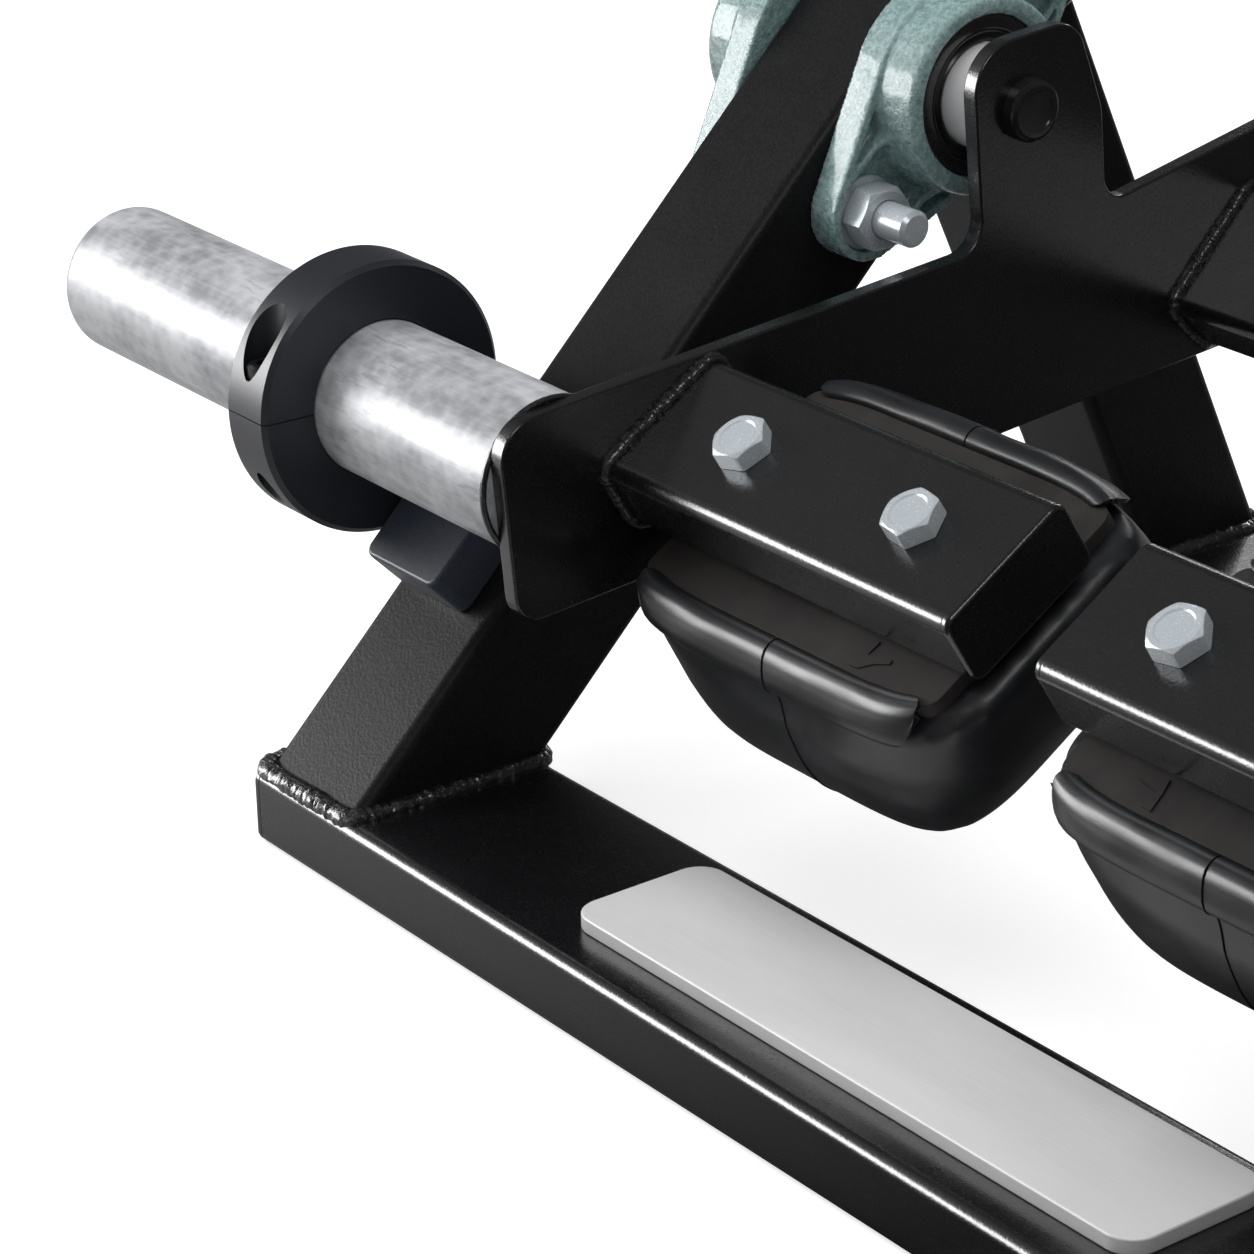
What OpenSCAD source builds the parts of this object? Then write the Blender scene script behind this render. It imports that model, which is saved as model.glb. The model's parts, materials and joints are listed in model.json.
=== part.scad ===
/*
Tibialis dorsiflexion machine: two A-frames on two flat base bars carry a pair of
weight arms that swing on flange bearings, one arm for each foot.
Units are millimetres. X runs across the machine, Y from the front base bar to the
rear one, and Z up. The origin is the centre of the underside.
*/

/* [Base] */
// Width over the base bars and their end plates
base_w = 532; // [480:2:640]
// Depth over the two base bars
base_d = 400; // [380:5:460]
// Depth of each flat base bar
bar_d = 76; // [60:1:100]
// Height of each flat base bar
bar_h = 25; // [20:1:40]
// Wall of the base bars
bar_wall = 3; // [2:0.5:5]
// Outside corner radius of the base bars
bar_corner = 4; // [1:0.5:6]
// Thickness of the plates that close the bars
end_plate_t = 3; // [2:0.5:5]

/* [Foot rest plate] */
// Length of the foot rest plate
rest_plate_l = 236; // [160:2:280]
// Depth of the foot rest plate
rest_plate_d = 50; // [30:1:56]
// Thickness of the foot rest plate
rest_plate_t = 5; // [3:0.5:8]
// Corner radius of the foot rest plate
rest_plate_corner = 9; // [2:0.5:14]
// Distance from the bar's front face to the foot rest plate
rest_plate_setback = 15; // [6:1:18]

/* [A-frames] */
// Side of the square leg tubes
leg_size = 50; // [40:1:60]
// Wall of the leg tubes
leg_wall = 3; // [2:0.5:5]
// Outside corner radius of the leg tubes
leg_corner = 4; // [2:0.5:6]
// Distance from the end of the base to the outer face of the legs
leg_inset = 1; // [0:0.5:6]
// Slope of the front legs above the floor, degrees
front_leg_angle = 44.5; // [42:0.5:47]
// Slope of the rear legs above the floor, degrees
rear_leg_angle = 65.5; // [62:0.5:70]
// Distance from the front of the base to the foot of the front legs
front_foot_setback = 4.5; // [2:0.5:8]
// Distance from the rear of the base to the foot of the rear legs
rear_foot_setback = 10; // [6:0.5:14]
// Thickness of the plate that closes the top of each A-frame
apex_plate_t = 3; // [2:0.5:5]

/* [Bearings] */
// Distance down the front leg from its top to the shaft
shaft_drop = 75; // [73:0.5:84]
// Diameter of the shafts in the bearings
shaft_d = 25; // [20:1:30]
// Distance between the two bolts of a bearing housing
bolt_pitch = 99; // [96:1:110]
// Radius of the ears of a bearing housing
ear_r = 15.5; // [13:0.5:18]
// Radius of the boss of a bearing housing where it meets the flange
boss_r = 34; // [32:0.5:38]
// Radius of the boss of a bearing housing at its face
boss_face_r = 32; // [31:0.5:33]
// Height of the wall round the housing flange
flange_t = 12; // [9:0.5:15]
// Depth of the flange's web below its edge wall
web_sink = 4.5; // [3:0.5:6]
// Height of the housing boss
boss_h = 27; // [25.5:0.5:32]
// Radius of the outer bearing race
outer_race_r = 26; // [24:0.5:29]
// Width of the outer bearing race
outer_race_w = 17; // [13:0.5:19]
// Radius of the inner bearing race
inner_race_r = 17; // [16.5:0.5:20]
// Length of the inner bearing race
inner_race_l = 34; // [31:0.5:38]
// Distance from the housing's back to the far end of the inner race
race_reach = 35.8; // [34.8:0.1:40]

/* [Arms] */
// Thickness of the arm side plates
plate_t = 6; // [4:0.5:10]
// Distance between the inner race and the side plate
plate_gap = 2.3; // [0.3:0.1:5]
// Distance from the shaft to the front end of the side plate
plate_front = 207; // [200:1:216]
// Distance from the shaft to the rear end of the side plate
plate_rear = 124; // [118:1:150]
// Distance from the shaft down to the beam's top edge
beam_drop = 40.7; // [40:0.1:46]
// Height of the beam
beam_h = 64; // [57:0.5:75]
// Distance from the shaft to the front edge of the neck
neck_front = 20.5; // [19:0.5:28]
// Distance from the shaft to the rear edge of the neck
neck_rear = 31.5; // [24:0.5:40]
// Height of the neck above the shaft
neck_top = 23.5; // [18:0.5:30]
// Diameter of the shaft's end in the side plate
shaft_end_d = 20; // [16:0.5:24]
// Distance that the shaft's end stands out of the side plate
shaft_end_out = 5; // [2:0.5:12]

/* [Pad tube and heel tube] */
// Width of the arm tubes
tube_w = 50; // [40:1:60]
// Thickness of the arm tubes
tube_t = 25; // [20:1:30]
// Wall of the arm tubes
tube_wall = 2.5; // [1.5:0.5:4]
// Outside corner radius of the arm tubes
tube_corner = 3; // [1:0.5:5]
// Gap between the left and the right tube
tube_gap = 34; // [20:1:80]
// Thickness of the plates that close the arm tubes
tube_cap_t = 3; // [2:0.5:5]
// Slope of the pad tube against the beam, degrees
pad_tube_angle = 27; // [15:1:35]
// Distance from the shaft forward to the middle of the pad tube
pad_tube_y = 144; // [138:0.1:150]
// Distance from the shaft down to the middle of the pad tube
pad_tube_z = 64.5; // [63:0.1:70]
// Slope of the heel tube against the beam, degrees
heel_tube_angle = 40.5; // [30:0.5:50]
// Distance from the shaft back to the middle of the heel tube
heel_tube_y = 84.4; // [80:0.1:96]
// Distance from the shaft down to the middle of the heel tube
heel_tube_z = 76.8; // [70:0.1:78]

/* [Pads] */
// Distance from the side plate to the pad
pad_gap = 1.6; // [0.6:0.2:12]
// Distance from the pad to the middle of the machine
pad_mid_gap = 12; // [4:1:40]
// Distance that the pad's middle lies behind the tube's
pad_offset = 2; // [-4:0.5:4]
// Width of a pad at its rim
pad_w = 103; // [94:1:110]
// Amount by which each side of the pad swells out towards its face
pad_flare = 6.5; // [0:0.5:9]
// Depth of a pad below its board, without the crown
pad_h = 59; // [45:1:70]
// Rise of the crown in the middle of the pad's face
pad_crown = 3; // [0:0.5:8]
// Amount by which each end of the pad draws in towards its face
pad_end_taper = 14; // [0:1:18]
// Radius of the roll from the pad's ends to its face
pad_end_roll = 37; // [20:1:45]
// Radius of the roll from the pad's sides to its face
pad_side_roll = 26; // [12:1:30]
// Distance from each end of the pad to its folded lips
lip_setback = 16; // [8:1:24]
// Radius of the folded lip
lip_r = 6; // [3:0.5:8]
// Distance from each end of the pad to its board
board_setback = 13; // [8:1:20]
// Width of the pad board
board_w = 80; // [60:1:84]
// Thickness of the pad board
board_t = 8; // [5:0.5:12]
// Distance between the two pad bolts
pad_bolt_pitch = 76; // [50:1:90]

/* [Weight horns and collars] */
// Diameter of the weight horns
horn_d = 50; // [25:0.5:52]
// Wall of the weight horns
horn_wall = 4; // [2:0.5:6]
// Length of a weight horn outside the side plate
horn_l = 248; // [200:1:320]
// Thickness of the rounded plug that closes a weight horn
horn_plug_t = 6; // [4:0.5:12]
// Distance from the shaft forward to the horn's axis
horn_y = 185.5; // [184:0.5:196]
// Distance from the shaft down to the horn's axis
horn_z = 65; // [60:0.5:72]
// Diameter of a clamp collar
collar_d = 88; // [70:1:96]
// Width of a clamp collar
collar_w = 22; // [14:1:30]
// Chamfer on the rims of a clamp collar
collar_chamfer = 2; // [0.5:0.5:4]
// Gap between a collar at rest and the side of the leg
collar_gap = 2; // [1:0.5:20]
// Width of the collar's split
collar_split = 1; // [0.5:0.5:3]

/* [Stop blocks] */
// Thickness of the stop block under each horn
stop_t = 18; // [12:0.5:24]
// Width of the stop block
stop_w = 38; // [30:1:46]
// Length of the stop block along the leg
stop_l = 66; // [60:1:80]
// Distance from the line where the horn touches down to the middle of the stop block
stop_offset = 9; // [0:1:16]
// Distance from the leg's outer face to the stop block
stop_inset = 1; // [0:0.5:4]
// Corner radius of the stop block
stop_corner = 4; // [1:0.5:6]
// Distance between the two screws of a stop block
stop_screw_pitch = 30; // [28:1:40]

/* [Fasteners] */
// Diameter of the bearing bolts
frame_bolt_d = 12; // [8:1:14]
// Diameter of the pad bolts
pad_bolt_d = 10; // [6:1:12]
// Diameter of the stop block screws
stop_screw_d = 6; // [4:1:8]
// Diameter of the collar's clamp screw
clamp_screw_d = 8; // [5:1:10]
// Diameter of the set screws in the inner races
set_screw_d = 6; // [4:0.5:6]

/* [Fits] */
// Clearance of a running or located fit, on the radius
fit = 0.05; // [0.02:0.01:0.1]
// Clearance of a bolt hole, on the radius
bolt_play = 0.5; // [0.2:0.1:1]
// Gap that keeps soft and resting pieces clear of each other
rest_gap = 0.3; // [0.1:0.1:0.6]

/* [Hidden] */

big = 2 * (base_w + base_d);
paint = [0.07, 0.07, 0.08];
polymer = [0.13, 0.14, 0.17];
cast_green = [0.42, 0.52, 0.49];
zinc = [0.78, 0.79, 0.81];
vinyl = [0.10, 0.10, 0.11];

// The legs stand in the side frame, whose X starts at the end of the base
leg_x0 = leg_inset;
leg_x1 = leg_inset + leg_size;
front_y = -base_d / 2;
rear_y = base_d / 2;
front_foot_y = front_y + front_foot_setback;
rear_foot_y = rear_y - rear_foot_setback;

// The two legs and the base make a triangle, and the shaft lies on the middle line of the
// front leg, a fixed way down from the top
leg_top_along = (rear_foot_y - front_foot_y) * sin(rear_leg_angle) / sin(front_leg_angle + rear_leg_angle);
shaft_along = leg_top_along - shaft_drop;
shaft_y = front_foot_y + shaft_along * cos(front_leg_angle) + leg_size / 2 * sin(front_leg_angle);
shaft_z = bar_h + shaft_along * sin(front_leg_angle) - leg_size / 2 * cos(front_leg_angle);
shaft_shoulder_x = leg_x1 + race_reach + plate_gap;
shaft_tail = 3;
shaft_chamfer = 1.5;
leg_shaft_hole_d = shaft_d + 6;

// The races sit at the same depth in every housing
race_start = race_reach - inner_race_l;
outer_race_x = 7.5;
seal_t = 2;
seal_r = outer_race_r - 2;
seal_lip_r = inner_race_r + rest_gap;
housing_back_r = inner_race_r + 5;
housing_mouth_chamfer = 1.5;
boss_round = 2.5;
boss_root_r = boss_r - 1;
rib_w = 8;
rib_foot_h = 1;
web_t = flange_t - web_sink;
edge_wall = 3;
set_screw_setback = 5.5;
set_screw_spread = 60;

// The arm rests where its horn meets the stop block
plate_x = shaft_shoulder_x;
horn_reach = norm([horn_y, horn_z]);
horn_bearing = atan2(-horn_z, -horn_y);
horn_off_leg = leg_size / 2 + stop_t + rest_gap + horn_d / 2;
rest_tilt = acos(horn_off_leg / horn_reach) + front_leg_angle + 90 - 360 - horn_bearing;

beam_bottom = beam_drop + beam_h;
plate_front_top_r = 13;
plate_front_bottom_r = 9;
plate_rear_r = 14;
plate_tail_r = 20;
neck_fillet_r = 10;
neck_rear_fillet_r = 8;
neck_front_r = 16;
neck_crown_r = 12;
neck_rear_r = 18;
neck_shoulder = 8;
neck_slant = 9;
tail_rise = 10;
tail_cut = 28;
tail_bottom = 22;

tube_x = plate_x + plate_t;
tube_l = base_w / 2 - tube_gap / 2 - tube_x - tube_cap_t;
pad_l = base_w / 2 - tube_x - pad_gap - pad_mid_gap;
pad_x = tube_x + pad_gap + pad_l / 2;
board_l = pad_l - 2 * board_setback;
lip_l = pad_l - 2 * lip_setback;
board_corner = 6;
pad_rim = 6;
pad_pinch = 2;
pad_pinch_h = 5;
pad_ring_points = 48;
pad_wall_steps = 14;
pad_crown_steps = 3;
pad_corner_power = 5;
lip_out = pad_w / 2 - lip_r;

// Hexagon and washer sizes follow from the bolt's diameter
function hex_flats(d) = d <= 10 ? 1.6 * d : 1.55 * d + 0.4;
function hex_r(d) = hex_flats(d) / 2 / cos(30);
function head_h(d) = 0.64 * d;
function nut_h(d) = 0.83 * d;
function washer_r(d) = d;
function washer_t(d) = 0.17 * d;
bolt_stack = web_t + washer_t(frame_bolt_d);
stud_out = 14;
tee_flange_r = pad_bolt_d * 1.1;
tee_flange_t = 1.5;
tee_barrel_r = pad_bolt_d / 2 + 1;
pad_bolt_l = tube_t + board_t + 4;
pocket_l = 8;

horn_bore_r = horn_d / 2 - horn_wall;
plug_round = 5;
plug_spigot = 8;
collar_x = leg_x0 - collar_gap - collar_w;
clamp_screw_r = (horn_d / 2 + collar_d / 2) / 2 + 0.5;
clamp_screw_l = 32;
clamp_head_d = clamp_screw_d * 1.5;
split_angle = 200;
collar_bore_chamfer = 1.5;

stop_mid = shaft_along - sqrt(pow(horn_reach, 2) - pow(horn_off_leg, 2)) - stop_offset;
stop_head_r = stop_screw_d * 0.9;
stop_sink = 9;
stop_screw_l = 24;

// Points of a closed outline, given as [x, y, radius] for each corner
function arc_steps(r) = max(2, ceil(r / 2.2));
function unit(v) = v / norm(v);
function corner_arc(a, p, b, r) =
  let (
    u = unit([a[0] - p[0], a[1] - p[1]]),
    v = unit([b[0] - p[0], b[1] - p[1]]),
    half = acos(u * v) / 2,
    mid = unit(u + v),
    centre = [p[0], p[1]] + mid * r / sin(half),
    turn = 180 - 2 * half,
    side = sign(u[0] * v[1] - u[1] * v[0]),
    start = atan2(-mid[1], -mid[0]) + side * turn / 2,
    n = arc_steps(r)
  )
  r <= 0 ? [[p[0], p[1]]]
    : [for (i = [0:n]) centre + r * [cos(start - side * turn * i / n), sin(start - side * turn * i / n)]];
function round_outline(pts) =
  let (n = len(pts))
  [for (i = [0:n - 1])
    each corner_arc(pts[(i + n - 1) % n], pts[i], pts[(i + 1) % n], pts[i][2])];

module round_box(w, h, r) {
  polygon(round_outline([[-w / 2, -h / 2, r], [w / 2, -h / 2, r], [w / 2, h / 2, r], [-w / 2, h / 2, r]]));
}

module tube_section(w, h, wall, r) {
  difference() {
    round_box(w, h, r);
    round_box(w - 2 * wall, h - 2 * wall, max(r - wall, 0.5));
  }
}

// Extrudes an outline drawn in Y and Z along X
module along_x(l) {
  rotate([90, 0, 90]) linear_extrude(l) children();
}

module rod_x(r, l, fn = 48) {
  rotate([0, 90, 0]) cylinder(r = r, h = l, $fn = fn);
}

// The side frame starts at the end of the base, and the right side is the left one mirrored
module on_side(side) {
  mirror([side == "right" ? 1 : 0, 0, 0]) translate([-base_w / 2, 0, 0]) children();
}

module on_sides() {
  for (side = ["left", "right"]) on_side(side) children();
}

module arm_frame() {
  translate([0, shaft_y, shaft_z]) rotate([rest_tilt, 0, 0]) children();
}

module front_leg_frame() {
  translate([leg_x0 + leg_size / 2, front_foot_y, bar_h]) rotate([front_leg_angle, 0, 0]) children();
}

module rear_leg_frame() {
  translate([leg_x0 + leg_size / 2, rear_foot_y, bar_h]) rotate([180 - rear_leg_angle, 0, 0]) children();
}

// Places a bearing's pieces on the inner and the outer face of the leg
module on_leg_face(face) {
  x = face == "inner" ? leg_x1 : leg_x0;
  translate([x, shaft_y, shaft_z]) rotate([front_leg_angle, 0, 0])
    mirror([face == "inner" ? 0 : 1, 0, 0]) children();
}

module on_leg_faces() {
  for (face = ["inner", "outer"]) on_leg_face(face) children();
}

module at_housing_bolts() {
  for (s = [-1, 1]) translate([0, s * bolt_pitch / 2, 0]) children();
}

module base_bar(y) {
  color(paint) translate([-base_w / 2 + end_plate_t, y + bar_d / 2, bar_h / 2])
    along_x(base_w - 2 * end_plate_t) tube_section(bar_d, bar_h, bar_wall, bar_corner);
}

module front_base_bar() {
  base_bar(front_y);
}

module rear_base_bar() {
  base_bar(rear_y - bar_d);
}

module base_end_plates() {
  color(paint) on_sides()
    for (y = [front_y, rear_y - bar_d])
      translate([0, y + bar_d / 2, bar_h / 2]) along_x(end_plate_t) round_box(bar_d, bar_h, bar_corner);
}

module foot_rest_plate() {
  color(zinc) translate([0, front_y + rest_plate_setback + rest_plate_d / 2, bar_h])
    linear_extrude(rest_plate_t) round_box(rest_plate_l, rest_plate_d, rest_plate_corner);
}

module leg_tube(z, hollow) {
  translate([0, -leg_size, z]) rotate([-90, 0, 0]) linear_extrude(base_d * 1.5)
    if (hollow) tube_section(leg_size, leg_size, leg_wall, leg_corner);
    else round_box(leg_size, leg_size, leg_corner);
}

module below_base_top() {
  translate([-big / 2, -big / 2, bar_h - big]) cube(big);
}

// Space behind the rear face of the rear leg, moved in by the plate that closes the top
module behind_rear_leg(inset) {
  rear_leg_frame() translate([-big / 2, -big / 2, inset - big]) cube(big);
}

module above_front_leg_underside() {
  front_leg_frame() translate([-big / 2, -big / 2, -leg_size]) cube(big);
}

module front_leg(side) {
  color(paint) on_side(side) difference() {
    front_leg_frame() leg_tube(-leg_size / 2, true);
    below_base_top();
    behind_rear_leg(apex_plate_t);
    on_leg_face("inner") {
      translate([-big / 2, 0, 0]) rod_x(leg_shaft_hole_d / 2, big);
      at_housing_bolts() translate([-big / 2, 0, 0]) rod_x(frame_bolt_d / 2 + bolt_play, big, 32);
    }
    stop_screw_places() translate([0, 0, -leg_wall - 1]) cylinder(d = stop_screw_d + 2 * fit, h = leg_wall + 2, $fn = 32);
  }
}

module rear_leg(side) {
  color(paint) on_side(side) difference() {
    rear_leg_frame() leg_tube(leg_size / 2, true);
    below_base_top();
    above_front_leg_underside();
  }
}

module left_front_leg() {
  front_leg("left");
}

module right_front_leg() {
  front_leg("right");
}

module left_rear_leg() {
  rear_leg("left");
}

module right_rear_leg() {
  rear_leg("right");
}

module apex_plates() {
  color(paint) on_sides() intersection() {
    front_leg_frame() leg_tube(-leg_size / 2, false);
    rear_leg_frame() translate([-leg_size, 0, 0]) cube([2 * leg_size, big, apex_plate_t]);
  }
}

// Rhombic flange: arcs round the boss and the two ears, joined by their tangents
function arc_points(c, r, from, to, n) =
  [for (i = [0:n]) let (a = from + (to - from) * i / n) [c + r * cos(a), r * sin(a)]];
function flange_points(inset) =
  let (reach = bolt_pitch / 2, lean = acos((boss_r - ear_r) / reach), ear = ear_r - inset, boss = boss_r - inset)
  concat(
    arc_points(reach, ear, -lean, lean, 18),
    arc_points(0, boss, lean, 180 - lean, 18),
    arc_points(-reach, ear, 180 - lean, 180 + lean, 18),
    arc_points(0, boss, 180 + lean, 360 - lean, 18)
  );

module flange_outline(inset = 0) {
  polygon(flange_points(inset));
}

// Profile of the boss as radius and height, with a rounded outer edge at its face
module boss_profile() {
  polygon([
    [0, web_t - 1],
    [boss_root_r, web_t - 1],
    [boss_root_r, flange_t],
    for (a = [0:18:90])
      [boss_face_r - boss_round + boss_round * cos(a), boss_h - boss_round + boss_round * sin(a)],
    [0, boss_h]
  ]);
}

module bearing_bore() {
  bore_r = outer_race_r + fit;
  c = housing_mouth_chamfer;
  translate([-1, 0, 0]) rod_x(housing_back_r, boss_h + 2, 72);
  translate([outer_race_x, 0, 0]) rod_x(bore_r, boss_h, 72);
  translate([boss_h - c - 0.5, 0, 0]) rotate([0, 90, 0])
    cylinder(r1 = bore_r - 0.5, r2 = bore_r + c + 0.5, h = c + 1, $fn = 72);
}

// Rib from the boss down to each ear
module housing_rib() {
  root_y = boss_face_r - 4;
  foot_y = bolt_pitch / 2 - washer_r(frame_bolt_d) - 0.5;
  rotate([90, 0, 0]) translate([0, 0, -rib_w / 2]) linear_extrude(rib_w) polygon([
    [web_t - 1, root_y],
    [boss_h - 2 * boss_round, root_y],
    [boss_h - 2 * boss_round, boss_face_r - 1],
    [web_t + rib_foot_h, foot_y],
    [web_t - 1, foot_y]
  ]);
}

module housing() {
  difference() {
    union() {
      difference() {
        along_x(flange_t) flange_outline();
        translate([web_t, 0, 0]) along_x(web_sink + 1) flange_outline(edge_wall);
      }
      rotate([0, 90, 0]) rotate_extrude($fn = 72) boss_profile();
      for (a = [90, -90]) rotate([-a, 0, 0]) housing_rib();
    }
    bearing_bore();
    at_housing_bolts() translate([-1, 0, 0]) rod_x(frame_bolt_d / 2 + bolt_play, flange_t + 2, 32);
  }
}

module placed_housing(side, face) {
  color(cast_green) on_side(side) on_leg_face(face) housing();
}

module left_inner_housing() {
  placed_housing("left", "inner");
}

module left_outer_housing() {
  placed_housing("left", "outer");
}

module right_inner_housing() {
  placed_housing("right", "inner");
}

module right_outer_housing() {
  placed_housing("right", "outer");
}

module ring_x(r_out, r_in, l, fn = 72) {
  difference() {
    rod_x(r_out, l, fn);
    translate([-1, 0, 0]) rod_x(r_in, l + 2, fn);
  }
}

module seal_seat() {
  translate([outer_race_x + outer_race_w - seal_t, 0, 0]) rod_x(seal_r, seal_t + 1, 72);
}

module outer_races() {
  color("dimgray") on_sides() on_leg_faces() difference() {
    translate([outer_race_x, 0, 0]) ring_x(outer_race_r, inner_race_r + fit, outer_race_w);
    seal_seat();
  }
}

module race_seals() {
  color("black") on_sides() on_leg_faces()
    translate([outer_race_x + outer_race_w - seal_t, 0, 0]) ring_x(seal_r - fit, seal_lip_r, seal_t);
}

module hex_x(d, h, bore_r = 0) {
  difference() {
    rotate([0, 90, 0]) cylinder(r = hex_r(d), h = h, $fn = 6);
    if (bore_r > 0) translate([-1, 0, 0]) rod_x(bore_r, h + 2, 32);
  }
}

// One bolt runs through both housings and the leg, with its head outside
module housing_bolts() {
  head_x = leg_x0 - bolt_stack;
  tip_x = leg_x1 + bolt_stack + nut_h(frame_bolt_d) + stud_out;
  color(zinc) on_sides() translate([0, shaft_y, shaft_z]) rotate([front_leg_angle, 0, 0]) at_housing_bolts() {
    translate([head_x - head_h(frame_bolt_d), 0, 0]) hex_x(frame_bolt_d, head_h(frame_bolt_d));
    translate([head_x - 1, 0, 0]) rod_x(frame_bolt_d / 2, tip_x - 1 - head_x, 32);
    translate([tip_x - 2, 0, 0]) rotate([0, 90, 0])
      cylinder(r1 = frame_bolt_d / 2, r2 = frame_bolt_d / 2 - 1.5, h = 2, $fn = 32);
  }
}

module housing_washers() {
  color(zinc) on_sides() on_leg_faces() at_housing_bolts()
    translate([web_t, 0, 0])
      ring_x(washer_r(frame_bolt_d), frame_bolt_d / 2 + bolt_play / 2, washer_t(frame_bolt_d), 48);
}

module housing_nuts() {
  color(zinc) on_sides() on_leg_face("inner") at_housing_bolts()
    translate([bolt_stack, 0, 0]) hex_x(frame_bolt_d, nut_h(frame_bolt_d), frame_bolt_d / 2 + fit);
}

module stop_screw_places() {
  front_leg_frame() for (s = [-1, 1])
    translate([stop_w / 2 + stop_inset - leg_size / 2, stop_mid + s * stop_screw_pitch / 2, 0]) children();
}

module stop_block(side) {
  color(polymer) on_side(side) difference() {
    front_leg_frame() translate([stop_inset - leg_size / 2 + stop_w / 2, stop_mid, 0])
      linear_extrude(stop_t) round_box(stop_w, stop_l, stop_corner);
    stop_screw_places() {
      translate([0, 0, -1]) cylinder(d = stop_screw_d + 2 * bolt_play, h = stop_t + 2, $fn = 32);
      translate([0, 0, stop_t - stop_sink]) cylinder(r = stop_head_r + bolt_play, h = stop_sink + 1, $fn = 32);
    }
  }
}

module left_stop_block() {
  stop_block("left");
}

module right_stop_block() {
  stop_block("right");
}

module stop_block_screws() {
  color(zinc) on_sides() stop_screw_places() translate([0, 0, stop_t - stop_sink]) difference() {
    union() {
      cylinder(r = stop_head_r, h = stop_screw_d, $fn = 32);
      translate([0, 0, 1 - stop_screw_l]) cylinder(d = stop_screw_d, h = stop_screw_l, $fn = 32);
    }
    translate([0, 0, stop_screw_d / 2]) cylinder(d = stop_screw_d, h = stop_screw_d, $fn = 6);
  }
}

// Laser-cut side plate: beam, neck round the shaft and tail round the heel tube
module side_plate_outline() {
  polygon(round_outline([
    [-plate_front, -beam_bottom, plate_front_bottom_r],
    [plate_rear - tail_cut, -beam_bottom, plate_tail_r],
    [plate_rear, -beam_bottom + tail_bottom, plate_rear_r],
    [plate_rear, -beam_drop + tail_rise, plate_rear_r],
    [neck_rear, -beam_drop, neck_rear_fillet_r],
    [neck_rear, -neck_shoulder, neck_rear_r],
    [neck_rear - neck_slant, neck_top, neck_crown_r],
    [-neck_front, neck_top, neck_front_r],
    [-neck_front, -beam_drop, neck_fillet_r],
    [-plate_front, -beam_drop, plate_front_top_r]
  ]));
}

module side_plate(side) {
  color(paint) on_side(side) arm_frame() translate([plate_x, 0, 0]) difference() {
    along_x(plate_t) side_plate_outline();
    translate([-1, 0, 0]) rod_x(shaft_end_d / 2 + fit, plate_t + 2);
  }
}

module shaft(side) {
  tail_x = leg_x0 - race_reach - shaft_tail;
  body_l = shaft_shoulder_x - tail_x;
  end_l = plate_t + shaft_end_out;
  color("gray") on_side(side) arm_frame() translate([tail_x, 0, 0]) rotate([0, 90, 0]) rotate_extrude($fn = 64)
    polygon([
      [0, 0],
      [shaft_d / 2 - shaft_chamfer, 0],
      [shaft_d / 2, shaft_chamfer],
      [shaft_d / 2, body_l],
      [shaft_end_d / 2, body_l],
      [shaft_end_d / 2, body_l + end_l - shaft_chamfer],
      [shaft_end_d / 2 - shaft_chamfer, body_l + end_l],
      [0, body_l + end_l]
    ]);
}

module at_set_screws() {
  for (a = [-set_screw_spread, set_screw_spread])
    translate([race_reach - set_screw_setback, 0, 0]) rotate([a, 0, 0]) children();
}

// The inner races turn with the shaft, so they follow the arm and not the leg
module on_arm_races(side) {
  on_side(side) for (face = ["inner", "outer"])
    translate([face == "inner" ? leg_x1 : leg_x0, shaft_y, shaft_z]) rotate([rest_tilt, 0, 0])
      mirror([face == "inner" ? 0 : 1, 0, 0]) children();
}

module inner_races(side) {
  color(zinc) on_arm_races(side) difference() {
    translate([race_start, 0, 0]) ring_x(inner_race_r, shaft_d / 2 + fit, inner_race_l);
    at_set_screws() cylinder(d = set_screw_d + 2 * fit, h = inner_race_r + 1, $fn = 32);
  }
}

module set_screws(side) {
  color("dimgray") on_arm_races(side) at_set_screws()
    translate([0, 0, shaft_d / 2 + fit]) difference() {
      cylinder(d = set_screw_d, h = inner_race_r - shaft_d / 2 - 0.7, $fn = 32);
      translate([0, 0, 1.5]) cylinder(d = set_screw_d / 2, h = set_screw_d, $fn = 6);
    }
}

module pad_tube_frame() {
  arm_frame() translate([0, -pad_tube_y, -pad_tube_z]) rotate([pad_tube_angle, 0, 0]) children();
}

module heel_tube_frame() {
  arm_frame() translate([0, heel_tube_y, -heel_tube_z]) rotate([heel_tube_angle, 0, 0]) children();
}

module arm_tube() {
  translate([tube_x, 0, 0]) along_x(tube_l) tube_section(tube_w, tube_t, tube_wall, tube_corner);
}

module at_pad_bolts() {
  for (s = [-1, 1]) translate([pad_x + s * pad_bolt_pitch / 2, 0, 0]) children();
}

module pad_tube(side) {
  color(paint) on_side(side) pad_tube_frame() difference() {
    arm_tube();
    at_pad_bolts() translate([0, 0, -tube_t]) cylinder(d = pad_bolt_d + 2 * bolt_play, h = 2 * tube_t, $fn = 32);
  }
}

module heel_tube(side) {
  color(paint) on_side(side) heel_tube_frame() arm_tube();
}

module tube_cap() {
  translate([tube_x + tube_l, 0, 0]) along_x(tube_cap_t) round_box(tube_w, tube_t, tube_corner);
}

module tube_caps(side) {
  color(paint) on_side(side) {
    pad_tube_frame() tube_cap();
    heel_tube_frame() tube_cap();
  }
}

module pad_board(side) {
  color("tan") on_side(side) pad_tube_frame() difference() {
    translate([pad_x, pad_offset, -tube_t / 2 - board_t]) linear_extrude(board_t)
      round_box(board_l, board_w, board_corner);
    at_pad_bolts() translate([0, 0, -tube_t]) cylinder(r = tee_barrel_r + fit, h = tube_t, $fn = 32);
  }
}

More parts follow.
